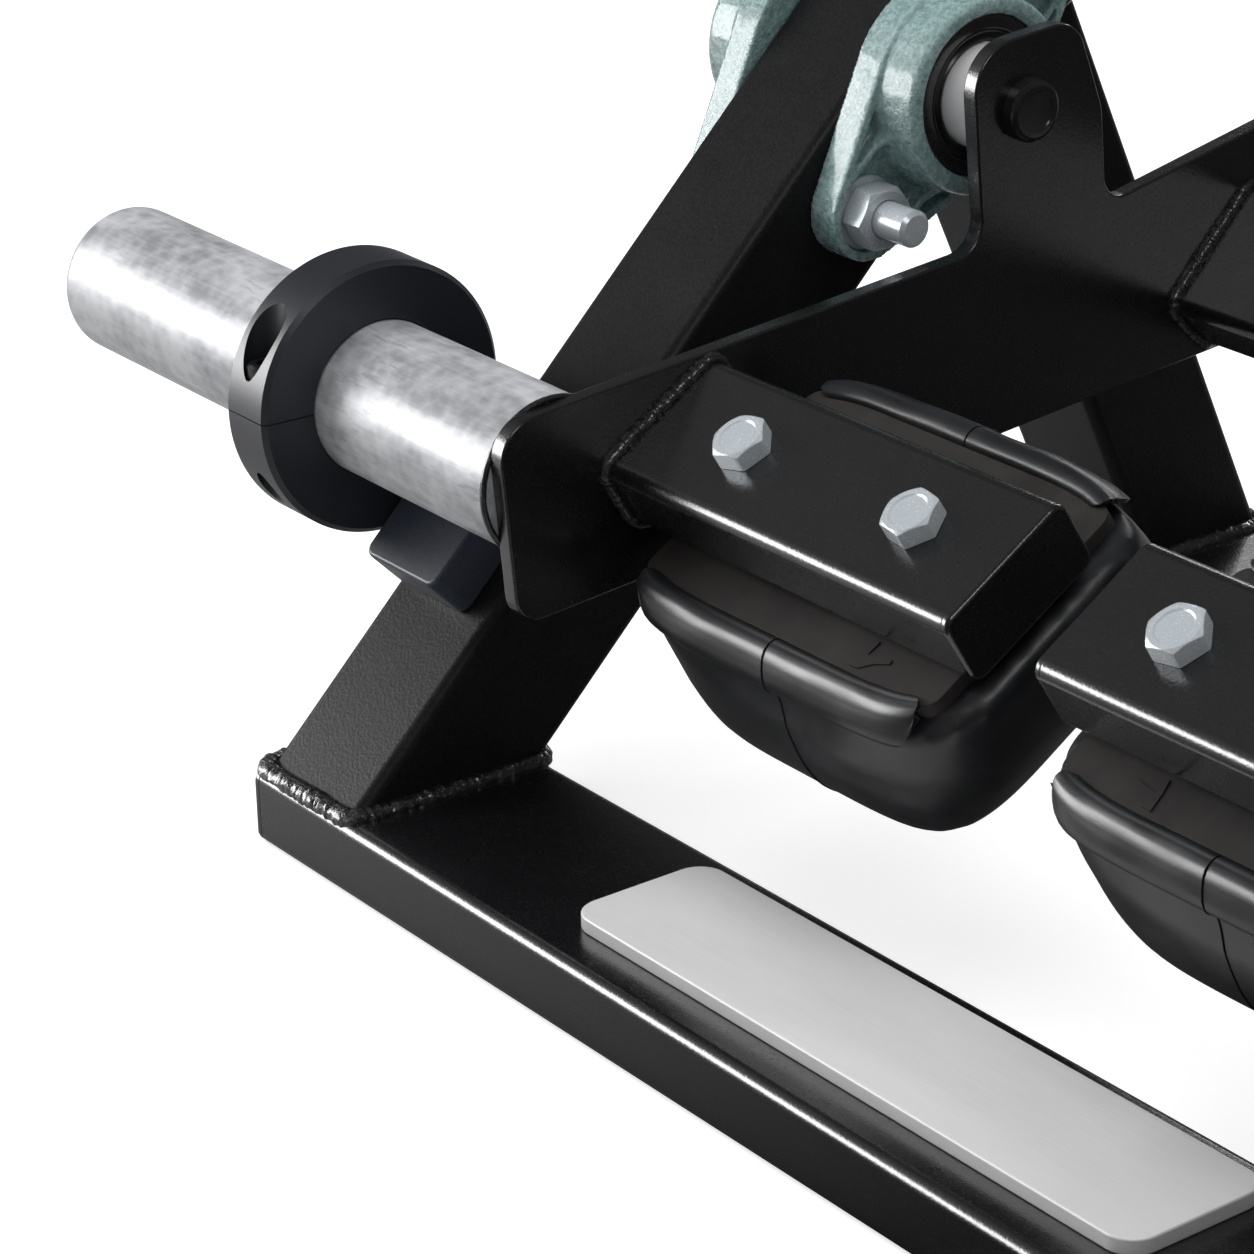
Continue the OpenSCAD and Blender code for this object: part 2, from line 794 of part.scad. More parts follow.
// Half sizes of the pad at a depth below its rim: the ends taper and roll into the face,
// and the sides draw in a little below the lip, then swell out
function roll_in(t, r) =
  let (u = max(0, (t - (pad_h + pad_rim - r)) / r)) r * (1 - sqrt(max(0, 1 - u * u)));
function pad_half_l(t) = pad_l / 2 - pad_end_taper * t / (pad_h + pad_rim) - roll_in(t, pad_end_roll);
function pad_half_w(t) =
  pad_w / 2 + pad_flare * t / (pad_h + pad_rim) - roll_in(t, pad_side_roll) - pad_pinch * exp(-pow((t - 2 * pad_pinch_h) / pad_pinch_h, 2));
function signed_pow(v, p) = sign(v) * pow(abs(v), p);
function pad_ring(a, b, z) =
  [for (i = [0:pad_ring_points - 1])
    let (q = 360 * i / pad_ring_points)
    [a * signed_pow(cos(q), 2 / pad_corner_power), b * signed_pow(sin(q), 2 / pad_corner_power), z]];
function pad_wall_depth(k) = (pad_h + pad_rim) * sin(90 * k / pad_wall_steps);
function pad_rings() = concat(
  [for (k = [0:pad_wall_steps])
    let (t = pad_wall_depth(k)) pad_ring(pad_half_l(t), pad_half_w(t), -t)],
  [for (k = [1:pad_crown_steps])
    let (s = 1 - k / (pad_crown_steps + 1), t = pad_h + pad_rim)
    pad_ring(pad_half_l(t) * s, pad_half_w(t) * s, -t - pad_crown * (1 - s * s))]
);
function ring_faces(rings) =
  [for (k = [0:rings - 2], i = [0:pad_ring_points - 1], half = [0, 1])
    let (
      j = (i + 1) % pad_ring_points,
      a = k * pad_ring_points + i,
      b = k * pad_ring_points + j,
      c = (k + 1) * pad_ring_points + j,
      d = (k + 1) * pad_ring_points + i
    )
    half == 0 ? [a, b, c] : [a, c, d]];

module pad_cushion() {
  rings = pad_rings();
  n = len(rings);
  tip = n * pad_ring_points;
  last = (n - 1) * pad_ring_points;
  polyhedron(
    points = concat([for (r = rings) each r], [[0, 0, -pad_h - pad_rim - pad_crown], [0, 0, 0]]),
    faces = concat(
      ring_faces(n),
      [for (i = [0:pad_ring_points - 1]) [last + i, last + (i + 1) % pad_ring_points, tip]],
      [for (i = [0:pad_ring_points - 1]) [(i + 1) % pad_ring_points, i, tip + 1]]
    )
  );
}

// Rolled lip along each side, standing above the rim beside the board
module pad_lips() {
  for (s = [-1, 1]) hull() for (e = [-1, 1])
    translate([e * (lip_l / 2 - lip_r), s * lip_out, -lip_r / 2]) sphere(lip_r, $fn = 16);
}

module pad(side) {
  pocket = rest_gap;
  color(vinyl) on_side(side) pad_tube_frame() translate([pad_x, pad_offset, -tube_t / 2 - board_t + pad_rim - rest_gap])
    difference() {
      union() {
        pad_cushion();
        pad_lips();
      }
      translate([0, 0, -pad_rim]) linear_extrude(tube_t)
        round_box(board_l + 2 * pocket, board_w + 2 * pocket, board_corner + pocket);
      for (s = [-1, 1]) translate([s * pad_bolt_pitch / 2, -pad_offset, -pad_rim - pocket_l])
        cylinder(r = tee_flange_r + 1, h = pocket_l + 1, $fn = 32);
    }
}

module pad_bolts(side) {
  color(zinc) on_side(side) pad_tube_frame() at_pad_bolts() translate([0, 0, tube_t / 2]) {
    cylinder(r = hex_r(pad_bolt_d), h = head_h(pad_bolt_d), $fn = 6);
    translate([0, 0, -pad_bolt_l]) cylinder(d = pad_bolt_d, h = pad_bolt_l + 1, $fn = 32);
  }
}

module tee_nuts(side) {
  color(zinc) on_side(side) pad_tube_frame() at_pad_bolts() translate([0, 0, -tube_t / 2 - board_t]) difference() {
    union() {
      translate([0, 0, -tee_flange_t]) cylinder(r = tee_barrel_r, h = board_t - 1 + tee_flange_t, $fn = 32);
      translate([0, 0, -tee_flange_t]) cylinder(r = tee_flange_r, h = tee_flange_t, $fn = 32);
    }
    translate([0, 0, -tee_flange_t - 1]) cylinder(r = pad_bolt_d / 2 + fit, h = board_t + 4, $fn = 32);
  }
}

module horn_frame() {
  arm_frame() translate([plate_x, -horn_y, -horn_z]) mirror([1, 0, 0]) children();
}

module weight_horn(side) {
  color(zinc) on_side(side) horn_frame() ring_x(horn_d / 2, horn_bore_r, horn_l - horn_plug_t, 64);
}

// Rounded plug with a spigot in the horn's bore
module horn_plug(side) {
  r = horn_d / 2;
  color(zinc) on_side(side) horn_frame() translate([horn_l - horn_plug_t, 0, 0]) rotate([0, 90, 0])
    rotate_extrude($fn = 64) polygon([
      [0, -plug_spigot],
      [horn_bore_r - fit, -plug_spigot],
      [horn_bore_r - fit, 0],
      [r, 0],
      for (a = [0:15:90]) [r - plug_round + plug_round * cos(a), horn_plug_t - plug_round + plug_round * sin(a)],
      [0, horn_plug_t]
    ]);
}

module collar_frame() {
  arm_frame() translate([collar_x, -horn_y, -horn_z]) rotate([split_angle, 0, 0]) children();
}

// The clamp screw crosses the split beside the bore, its head in a counterbore
module clamp_screw_frame() {
  translate([collar_w / 2, clamp_screw_r, 0]) children();
}

module collar(side) {
  r = collar_d / 2;
  c = collar_chamfer;
  bore_r = horn_d / 2 + fit;
  b = collar_bore_chamfer;
  color(polymer) on_side(side) collar_frame() difference() {
    rotate([0, 90, 0]) rotate_extrude($fn = 72) polygon([
      [bore_r, b],
      [bore_r + b, 0],
      [r - c, 0],
      [r, c],
      [r, collar_w - c],
      [r - c, collar_w],
      [bore_r + b, collar_w],
      [bore_r, collar_w - b]
    ]);
    translate([-1, 0, -collar_split / 2]) cube([collar_w + 2, collar_d, collar_split]);
    clamp_screw_frame() {
      translate([0, 0, -collar_d]) cylinder(d = clamp_screw_d + 2 * fit, h = collar_d, $fn = 32);
      cylinder(d = clamp_screw_d + 2 * bolt_play, h = collar_d, $fn = 32);
      translate([0, 0, clamp_screw_l / 2 - clamp_screw_d]) cylinder(d = clamp_head_d + 2 * bolt_play, h = collar_d, $fn = 32);
    }
  }
}

module collar_screw(side) {
  color("dimgray") on_side(side) collar_frame() clamp_screw_frame() difference() {
    union() {
      translate([0, 0, -clamp_screw_l / 2]) cylinder(d = clamp_screw_d, h = clamp_screw_l, $fn = 32);
      translate([0, 0, clamp_screw_l / 2 - clamp_screw_d]) cylinder(d = clamp_head_d, h = clamp_screw_d, $fn = 32);
    }
    translate([0, 0, clamp_screw_l / 2 - clamp_screw_d / 2]) cylinder(d = clamp_screw_d * 0.85, h = clamp_screw_d, $fn = 6);
  }
}

module left_side_plate() {
  side_plate("left");
}

module right_side_plate() {
  side_plate("right");
}

module left_shaft() {
  shaft("left");
}

module right_shaft() {
  shaft("right");
}

module left_inner_races() {
  inner_races("left");
}

module right_inner_races() {
  inner_races("right");
}

module left_set_screws() {
  set_screws("left");
}

module right_set_screws() {
  set_screws("right");
}

module left_pad_tube() {
  pad_tube("left");
}

module right_pad_tube() {
  pad_tube("right");
}

module left_heel_tube() {
  heel_tube("left");
}

module right_heel_tube() {
  heel_tube("right");
}

module left_tube_caps() {
  tube_caps("left");
}

module right_tube_caps() {
  tube_caps("right");
}

module left_pad_board() {
  pad_board("left");
}

module right_pad_board() {
  pad_board("right");
}

module left_pad() {
  pad("left");
}

module right_pad() {
  pad("right");
}

module left_pad_bolts() {
  pad_bolts("left");
}

module right_pad_bolts() {
  pad_bolts("right");
}

module left_tee_nuts() {
  tee_nuts("left");
}

module right_tee_nuts() {
  tee_nuts("right");
}

module left_weight_horn() {
  weight_horn("left");
}

module right_weight_horn() {
  weight_horn("right");
}

module left_horn_plug() {
  horn_plug("left");
}

module right_horn_plug() {
  horn_plug("right");
}

module left_collar() {
  collar("left");
}

module right_collar() {
  collar("right");
}

module left_collar_screw() {
  collar_screw("left");
}

module right_collar_screw() {
  collar_screw("right");
}

front_base_bar();
rear_base_bar();
base_end_plates();
foot_rest_plate();
left_front_leg();
left_rear_leg();
right_front_leg();
right_rear_leg();
apex_plates();
left_inner_housing();
left_outer_housing();
right_inner_housing();
right_outer_housing();
outer_races();
race_seals();
housing_bolts();
housing_washers();
housing_nuts();
left_stop_block();
right_stop_block();
stop_block_screws();
left_side_plate();
left_shaft();
left_inner_races();
left_set_screws();
left_pad_tube();
left_heel_tube();
left_tube_caps();
left_pad_board();
left_pad();
left_pad_bolts();
left_tee_nuts();
left_weight_horn();
left_horn_plug();
left_collar();
left_collar_screw();
right_side_plate();
right_shaft();
right_inner_races();
right_set_screws();
right_pad_tube();
right_heel_tube();
right_tube_caps();
right_pad_board();
right_pad();
right_pad_bolts();
right_tee_nuts();
right_weight_horn();
right_horn_plug();
right_collar();
right_collar_screw();
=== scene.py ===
"""Looks of the tibialis dorsiflexion machine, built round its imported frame.

Everything is in the frame's own axes. The classes hold their sizes in millimetres, and a
piece is scaled to metres when its mesh is made.
"""

import functools
import json
import logging
import math
from dataclasses import dataclass, field
from enum import Enum
from typing import Callable, Iterable, Optional, Sequence

import bmesh
import bpy
from mathutils import Matrix, Vector, noise
from mathutils.bvhtree import BVHTree

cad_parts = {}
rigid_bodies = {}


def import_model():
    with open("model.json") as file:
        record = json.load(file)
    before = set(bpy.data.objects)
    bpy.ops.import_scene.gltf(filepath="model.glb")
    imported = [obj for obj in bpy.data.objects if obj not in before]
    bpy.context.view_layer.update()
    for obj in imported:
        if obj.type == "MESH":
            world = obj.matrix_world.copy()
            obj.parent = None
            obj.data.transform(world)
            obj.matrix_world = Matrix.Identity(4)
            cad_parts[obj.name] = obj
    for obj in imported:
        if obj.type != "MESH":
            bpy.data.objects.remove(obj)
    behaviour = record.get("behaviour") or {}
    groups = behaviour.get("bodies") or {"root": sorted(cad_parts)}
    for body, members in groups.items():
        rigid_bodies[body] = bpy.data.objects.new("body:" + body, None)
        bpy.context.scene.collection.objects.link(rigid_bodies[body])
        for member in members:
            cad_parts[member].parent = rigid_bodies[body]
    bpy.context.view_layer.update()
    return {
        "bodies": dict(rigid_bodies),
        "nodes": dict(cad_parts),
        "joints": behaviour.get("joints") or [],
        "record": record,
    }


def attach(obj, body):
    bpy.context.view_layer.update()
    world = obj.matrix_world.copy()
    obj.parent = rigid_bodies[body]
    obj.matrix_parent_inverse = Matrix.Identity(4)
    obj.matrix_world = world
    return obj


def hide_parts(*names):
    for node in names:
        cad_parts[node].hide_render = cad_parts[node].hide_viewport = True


LOG = logging.getLogger("dorsiflexion_machine")
MM = 0.001
PER_M = 1000
Point2 = tuple[float, float]
Corner = tuple[float, float, float]
Colour = tuple[float, float, float]


class Side(Enum):
    """Half of the machine that a piece belongs to."""

    LEFT = "left"
    RIGHT = "right"


class Face(Enum):
    """Face of a front leg that a bearing is bolted to."""

    INNER = "inner"
    OUTER = "outer"


SIDES = (Side.LEFT, Side.RIGHT)
FACES = (Face.INNER, Face.OUTER)


@dataclass(frozen=True)
class Sizes:
    """Sizes of the machine, as its source gives them, in millimetres and degrees."""

    base_w: float = 532.0
    base_d: float = 400.0
    bar_d: float = 76.0
    bar_h: float = 25.0
    bar_corner: float = 4.0
    end_plate_t: float = 3.0
    rest_plate_l: float = 236.0
    rest_plate_d: float = 50.0
    rest_plate_t: float = 5.0
    rest_plate_corner: float = 9.0
    rest_plate_setback: float = 15.0
    leg_size: float = 50.0
    leg_corner: float = 4.0
    leg_inset: float = 1.0
    front_leg_angle: float = 44.5
    rear_leg_angle: float = 65.5
    front_foot_setback: float = 4.5
    rear_foot_setback: float = 10.0
    apex_plate_t: float = 3.0
    shaft_drop: float = 75.0
    shaft_d: float = 25.0
    bolt_pitch: float = 99.0
    flange_t: float = 12.0
    web_sink: float = 4.5
    race_reach: float = 35.8
    outer_race_x: float = 7.5
    outer_race_w: float = 17.0
    outer_race_r: float = 26.0
    inner_race_r: float = 17.0
    plate_t: float = 6.0
    plate_gap: float = 2.3
    plate_front: float = 207.0
    plate_rear: float = 124.0
    beam_drop: float = 40.7
    beam_h: float = 64.0
    neck_front: float = 20.5
    neck_rear: float = 31.5
    neck_top: float = 23.5
    shaft_end_d: float = 20.0
    shaft_end_out: float = 5.0
    tube_w: float = 50.0
    tube_t: float = 25.0
    tube_gap: float = 34.0
    tube_cap_t: float = 3.0
    pad_tube_angle: float = 27.0
    pad_tube_y: float = 144.0
    pad_tube_z: float = 64.5
    heel_tube_angle: float = 40.5
    heel_tube_y: float = 84.4
    heel_tube_z: float = 76.8
    pad_gap: float = 1.6
    pad_mid_gap: float = 12.0
    pad_offset: float = 2.0
    pad_w: float = 103.0
    pad_flare: float = 6.5
    pad_h: float = 59.0
    pad_rim: float = 6.0
    pad_crown: float = 3.0
    pad_end_taper: float = 14.0
    pad_end_roll: float = 37.0
    pad_side_roll: float = 26.0
    lip_setback: float = 16.0
    board_setback: float = 13.0
    board_w: float = 80.0
    board_t: float = 8.0
    pad_bolt_pitch: float = 76.0
    horn_d: float = 50.0
    horn_l: float = 248.0
    horn_y: float = 185.5
    horn_z: float = 65.0
    collar_d: float = 88.0
    collar_w: float = 22.0
    collar_gap: float = 2.0
    stop_t: float = 18.0
    stop_w: float = 38.0
    stop_l: float = 66.0
    stop_offset: float = 9.0
    stop_inset: float = 1.0
    stop_corner: float = 4.0
    frame_bolt_d: float = 12.0
    pad_bolt_d: float = 10.0
    stud_out: float = 14.0
    rest_gap: float = 0.3

    @property
    def half(self) -> float:
        """Half of the base's width."""
        return self.base_w / 2

    @property
    def leg_x1(self) -> float:
        """Inner face of a leg, from the end of the base."""
        return self.leg_inset + self.leg_size

    @property
    def front_y(self) -> float:
        """Front of the base."""
        return -self.base_d / 2

    @property
    def front_foot_y(self) -> float:
        """Front edge of the front leg's foot."""
        return self.front_y + self.front_foot_setback

    @property
    def rear_foot_y(self) -> float:
        """Rear edge of the rear leg's foot."""
        return self.base_d / 2 - self.rear_foot_setback

    @property
    def shaft_along(self) -> float:
        """Distance of the shaft up the front leg."""
        a = math.radians(self.front_leg_angle)
        b = math.radians(self.rear_leg_angle)
        span = self.rear_foot_y - self.front_foot_y
        return span * math.sin(b) / math.sin(a + b) - self.shaft_drop

    @property
    def shaft_y(self) -> float:
        """Y of the shaft."""
        a = math.radians(self.front_leg_angle)
        return self.front_foot_y + self.shaft_along * math.cos(a) + self.leg_size / 2 * math.sin(a)

    @property
    def shaft_z(self) -> float:
        """Height of the shaft."""
        a = math.radians(self.front_leg_angle)
        return self.bar_h + self.shaft_along * math.sin(a) - self.leg_size / 2 * math.cos(a)

    @property
    def horn_reach(self) -> float:
        """Distance from the shaft to the horn."""
        return math.hypot(self.horn_y, self.horn_z)

    @property
    def horn_off_leg(self) -> float:
        """Distance of the resting horn from the front leg's middle line."""
        return self.leg_size / 2 + self.stop_t + self.rest_gap + self.horn_d / 2

    @property
    def rest_tilt(self) -> float:
        """Tilt of an arm that rests on its stop block, in degrees."""
        bearing = math.degrees(math.atan2(-self.horn_z, -self.horn_y)) % 360
        return math.degrees(math.acos(self.horn_off_leg / self.horn_reach)) + self.front_leg_angle + 90 - bearing

    @property
    def stop_mid(self) -> float:
        """Distance of the stop block's middle up the front leg."""
        return self.shaft_along - math.sqrt(self.horn_reach ** 2 - self.horn_off_leg ** 2) - self.stop_offset

    @property
    def plate_x(self) -> float:
        """Outer face of the side plate, from the end of the base."""
        return self.leg_x1 + self.race_reach + self.plate_gap

    @property
    def tube_x(self) -> float:
        """Inner face of the side plate, where the arm tubes start."""
        return self.plate_x + self.plate_t

    @property
    def tube_l(self) -> float:
        """Length of an arm tube without its end plate."""
        return self.half - self.tube_gap / 2 - self.tube_x - self.tube_cap_t

    @property
    def pad_l(self) -> float:
        """Length of a pad."""
        return self.half - self.tube_x - self.pad_gap - self.pad_mid_gap

    @property
    def pad_x(self) -> float:
        """Middle of a pad, from the end of the base."""
        return self.tube_x + self.pad_gap + self.pad_l / 2

    @property
    def web_t(self) -> float:
        """Thickness of a housing's web under its nuts."""
        return self.flange_t - self.web_sink


def turn_x(degrees: float) -> Matrix:
    """Rotation about the X axis."""
    return Matrix.Rotation(math.radians(degrees), 4, "X")


def shift(x: float = 0.0, y: float = 0.0, z: float = 0.0) -> Matrix:
    """Translation in millimetres."""
    return Matrix.Translation((x, y, z))


def along_x() -> Matrix:
    """Turns a shape that stands along Z so that it lies along X."""
    return Matrix.Rotation(math.radians(90), 4, "Y")


@dataclass(frozen=True)
class Places:
    """Frames of the sub-assemblies, as matrices in millimetres."""

    s: Sizes

    def side(self, side: Side) -> Matrix:
        """Frame that starts at the end of the base; the right one is mirrored."""
        start = shift(-self.s.half)
        return start if side is Side.LEFT else Matrix.Scale(-1, 4, (1, 0, 0)) @ start

    def arm(self, side: Side) -> Matrix:
        """Frame of an arm at rest, with the shaft as its origin."""
        return self.side(side) @ shift(0, self.s.shaft_y, self.s.shaft_z) @ turn_x(self.s.rest_tilt)

    def pad_tube(self, side: Side) -> Matrix:
        """Frame of the pad tube's middle line."""
        return self.arm(side) @ shift(0, -self.s.pad_tube_y, -self.s.pad_tube_z) @ turn_x(self.s.pad_tube_angle)

    def heel_tube(self, side: Side) -> Matrix:
        """Frame of the heel tube's middle line."""
        return self.arm(side) @ shift(0, self.s.heel_tube_y, -self.s.heel_tube_z) @ turn_x(self.s.heel_tube_angle)

    def front_leg(self, side: Side) -> Matrix:
        """Frame of the front leg's foot, Y up the leg and Z out of its upper face."""
        s = self.s
        return (self.side(side) @ shift(s.leg_inset + s.leg_size / 2, s.front_foot_y, s.bar_h)
                @ turn_x(s.front_leg_angle))

    def rear_leg(self, side: Side) -> Matrix:
        """Frame of the rear leg's foot, Y up the leg and Z into it from its rear face."""
        s = self.s
        return (self.side(side) @ shift(s.leg_inset + s.leg_size / 2, s.rear_foot_y, s.bar_h)
                @ turn_x(180 - s.rear_leg_angle))

    def leg_face(self, side: Side, face: Face) -> Matrix:
        """Frame of a bearing, X out of the leg's face."""
        s = self.s
        x = s.leg_x1 if face is Face.INNER else s.leg_inset
        m = self.side(side) @ shift(x, s.shaft_y, s.shaft_z) @ turn_x(s.front_leg_angle)
        return m if face is Face.INNER else m @ Matrix.Scale(-1, 4, (1, 0, 0))

    def horn(self, side: Side) -> Matrix:
        """Frame of the weight horn, Z outward along it from the side plate."""
        s = self.s
        return (self.arm(side) @ shift(s.plate_x, -s.horn_y, -s.horn_z)
                @ Matrix.Scale(-1, 4, (1, 0, 0)) @ along_x())


class Shape:
    """Points in millimetres and the faces between them."""

    def __init__(self) -> None:
        """Starts empty."""
        self.points: list[Vector] = []
        self.faces: list[tuple[int, ...]] = []

    def add(self, points: Iterable[Sequence[float]], faces: Iterable[Sequence[int]]) -> "Shape":
        """Adds points and faces.

        Args:
            points: New points.
            faces: Faces, with indices into the new points.

        Returns:
            This shape.
        """
        start = len(self.points)
        self.points.extend(Vector(p) for p in points)
        self.faces.extend(tuple(i + start for i in f) for f in faces)
        return self

    def join(self, other: "Shape") -> "Shape":
        """Adds another shape to this one."""
        return self.add(other.points, other.faces)

    def add_to(self, bm: bmesh.types.BMesh, scale: float = 1.0) -> None:
        """Adds the points and faces to an edit mesh."""
        verts = [bm.verts.new(p * scale) for p in self.points]
        for f in self.faces:
            bm.faces.new([verts[i] for i in f])

    def placed(self, m: Matrix) -> "Shape":
        """Copies the shape into another frame.

        Args:
            m: Frame to place it in. A mirrored frame turns the faces round.

        Returns:
            The copy.
        """
        out = Shape()
        turned = m.determinant() < 0
        out.add((m @ p for p in self.points), (tuple(reversed(f)) if turned else f for f in self.faces))
        return out


def turns(count: int) -> list[float]:
    """Angles at even steps round a circle."""
    return [2 * math.pi * i / count for i in range(count)]


def polar(r: float, angle: float, z: float = 0.0) -> Vector:
    """Point at a radius, an angle and a height."""
    return Vector((r * math.cos(angle), r * math.sin(angle), z))


def rounded(corners: Sequence[Corner], step: float = 9.0) -> list[Point2]:
    """Closed outline with rounded corners.

    Args:
        corners: Corner points and their radii.
        step: Largest angle between two points of an arc, in degrees.

    Returns:
        Points of the outline.
    """
    out: list[Point2] = []
    n = len(corners)
    for i, (x, y, r) in enumerate(corners):
        p = Vector((x, y))
        u = (Vector(corners[i - 1][:2]) - p).normalized()
        v = (Vector(corners[(i + 1) % n][:2]) - p).normalized()
        if r <= 0:
            out.append((x, y))
            continue
        half = math.acos(max(-1.0, min(1.0, u.dot(v)))) / 2
        mid = (u + v).normalized()
        centre = p + mid * (r / math.sin(half))
        turn = math.pi - 2 * half
        sign = 1 if u.x * v.y - u.y * v.x > 0 else -1
        start = math.atan2(-mid.y, -mid.x) + sign * turn / 2
        k = max(2, math.ceil(math.degrees(turn) / step))
        for j in range(k + 1):
            a = start - sign * turn * j / k
            out.append((centre.x + r * math.cos(a), centre.y + r * math.sin(a)))
    return out


def box_outline(w: float, h: float, r: float, step: float = 9.0) -> list[Point2]:
    """Rectangle about the origin with rounded corners."""
    return rounded([(-w / 2, -h / 2, r), (w / 2, -h / 2, r), (w / 2, h / 2, r), (-w / 2, h / 2, r)], step)


def prism(outline: Sequence[Point2], low: float, high: float) -> Shape:
    """Solid of one section.

    Args:
        outline: Section, counterclockwise seen from above.
        low: Height of its lower face.
        high: Height of its upper face.

    Returns:
        The solid, standing along Z.
    """
    n = len(outline)
    points = [(x, y, low) for x, y in outline] + [(x, y, high) for x, y in outline]
    faces: list[tuple[int, ...]] = [tuple(range(n - 1, -1, -1)), tuple(range(n, 2 * n))]
    faces += [(i, (i + 1) % n, n + (i + 1) % n, n + i) for i in range(n)]
    return Shape().add(points, faces)


def lie_along_x(shape: Shape) -> Shape:
    """Turns a prism drawn in X and Y so that it is drawn in Y and Z and runs along X."""
    m = Matrix(((0, 0, 1, 0), (1, 0, 0, 0), (0, 1, 0, 0), (0, 0, 0, 1)))
    return shape.placed(m)


def lathe(profile: Sequence[Point2], count: int = 96, closed: bool = False) -> Shape:
    """Turned solid about Z.

    Args:
        profile: Radius and height of each ring, from the bottom up on the outside.
        count: Points round each ring.
        closed: Whether the profile's last ring joins its first, as on a washer.

    Returns:
        The turned solid.
    """
    shape = Shape()
    rings: list[list[int]] = []
    for r, z in profile:
        start = len(shape.points)
        if r < 1e-6:
            shape.points.append(Vector((0, 0, z)))
            rings.append([start])
            continue
        shape.points.extend(polar(r, a, z) for a in turns(count))
        rings.append(list(range(start, start + count)))
    pairs = list(zip(rings, rings[1:]))
    if closed:
        pairs.append((rings[-1], rings[0]))
    for low, high in pairs:
        for i in range(count):
            j = (i + 1) % count
            if len(low) == 1 and len(high) > 1:
                shape.faces.append((low[0], high[j], high[i]))
            elif len(high) == 1 and len(low) > 1:
                shape.faces.append((low[i], low[j], high[0]))
            elif len(low) > 1:
                shape.faces.append((low[i], low[j], high[j], high[i]))
    return shape


def swept(path: Sequence[Vector], radius: Callable[[float], float], closed: bool, around: int = 10,
          normal: Optional[Vector] = None) -> Shape:
    """Round rod along a path.

    Args:
        path: Points of its middle line.
        radius: Radius at a distance along the path.
        closed: Whether the path joins its own start.
        around: Points round the rod.
        normal: Direction that the first point of each ring is square to, or nothing for straight up.

    Returns:
        The rod.
    """
    shape = Shape()
    n = len(path)
    travelled = 0.0
    for i, p in enumerate(path):
        before = path[i - 1] if i > 0 or closed else path[i]
        after = path[(i + 1) % n] if i < n - 1 or closed else path[i]
        t = (after - before).normalized()
        side = t.cross(normal or Vector((0, 0, 1)))
        if side.length < 1e-4:
            side = t.cross(Vector((1, 0, 0)))
        side.normalize()
        up = side.cross(t).normalized()
        r = radius(travelled)
        shape.points.extend(p + side * (r * math.cos(a)) + up * (r * math.sin(a)) for a in turns(around))
        if i < n - 1:
            travelled += (path[i + 1] - p).length
    for i in range(n if closed else n - 1):
        a, b = i * around, ((i + 1) % n) * around
        for k in range(around):
            m = (k + 1) % around
            shape.faces.append((a + k, b + k, b + m, a + m))
    if not closed:
        shape.faces.append(tuple(range(around)))
        shape.faces.append(tuple((n - 1) * around + k for k in range(around - 1, -1, -1)))
    return shape


def spaced(path: Sequence[Vector], gap: float, closed: bool) -> list[Vector]:
    """Points at even distances along a path.

    Args:
        path: Points of the path.
        gap: Wanted distance between points.
        closed: Whether the path joins its own start.

    Returns:
        The new points.
    """
    pts = list(path) + ([path[0]] if closed else [])
    steps = [(b - a).length for a, b in zip(pts, pts[1:])]
    total = sum(steps)
    count = max(3, round(total / gap))
    out: list[Vector] = []
    i, done = 0, 0.0
    for k in range(count if closed else count + 1):
        want = total * k / count
        while i < len(steps) - 1 and done + steps[i] < want:
            done += steps[i]
            i += 1
        out.append(pts[i].lerp(pts[i + 1], min(1.0, (want - done) / max(steps[i], 1e-9))))
    return out


def weld_bead(path: Sequence[Vector], radius: float, closed: bool, seed: float, pitch: float = 2.6,
              rough: float = 1.0) -> Shape:
    """Rippled weld bead.

    Args:
        path: Seam that the bead fills.
        radius: Mean radius of the bead.
        closed: Whether the seam joins its own start.
        seed: Shifts the bead's unevenness.
        pitch: Distance from one ripple to the next.
        rough: Strength of the unevenness.

    Returns:
        The bead.
    """
    pts = spaced(path, 0.45, closed)
    around = 20

    def ripple(travelled: float) -> float:
        """Radius at a distance along the bead."""
        shifted = travelled + 1.6 * noise.noise(Vector((travelled * 0.16, seed, 3.0)))
        scale = abs(math.sin(math.pi * shifted / pitch))
        drift = noise.noise(Vector((travelled * 0.10, seed, 0)))
        return radius * (0.90 + 0.11 * rough * scale ** 0.5 + 0.16 * rough * drift)

    shape = swept(pts, ripple, closed, around)
    for i, p in enumerate(shape.points):
        middle = pts[i // around]
        out = (p - middle).normalized()
        lump = noise.noise(p * 0.42 + Vector((seed, 5, 0))) * 0.16 + noise.noise(p * 1.1) * 0.07
        p += out * (radius * rough * lump)
    return shape


def hex_radius(flats: float, angle: float) -> float:
    """Distance from a hexagon's middle to its edge at an angle, with a corner at angle 0."""
    a = (math.degrees(angle) % 60) - 30
    return flats / 2 / math.cos(math.radians(a))


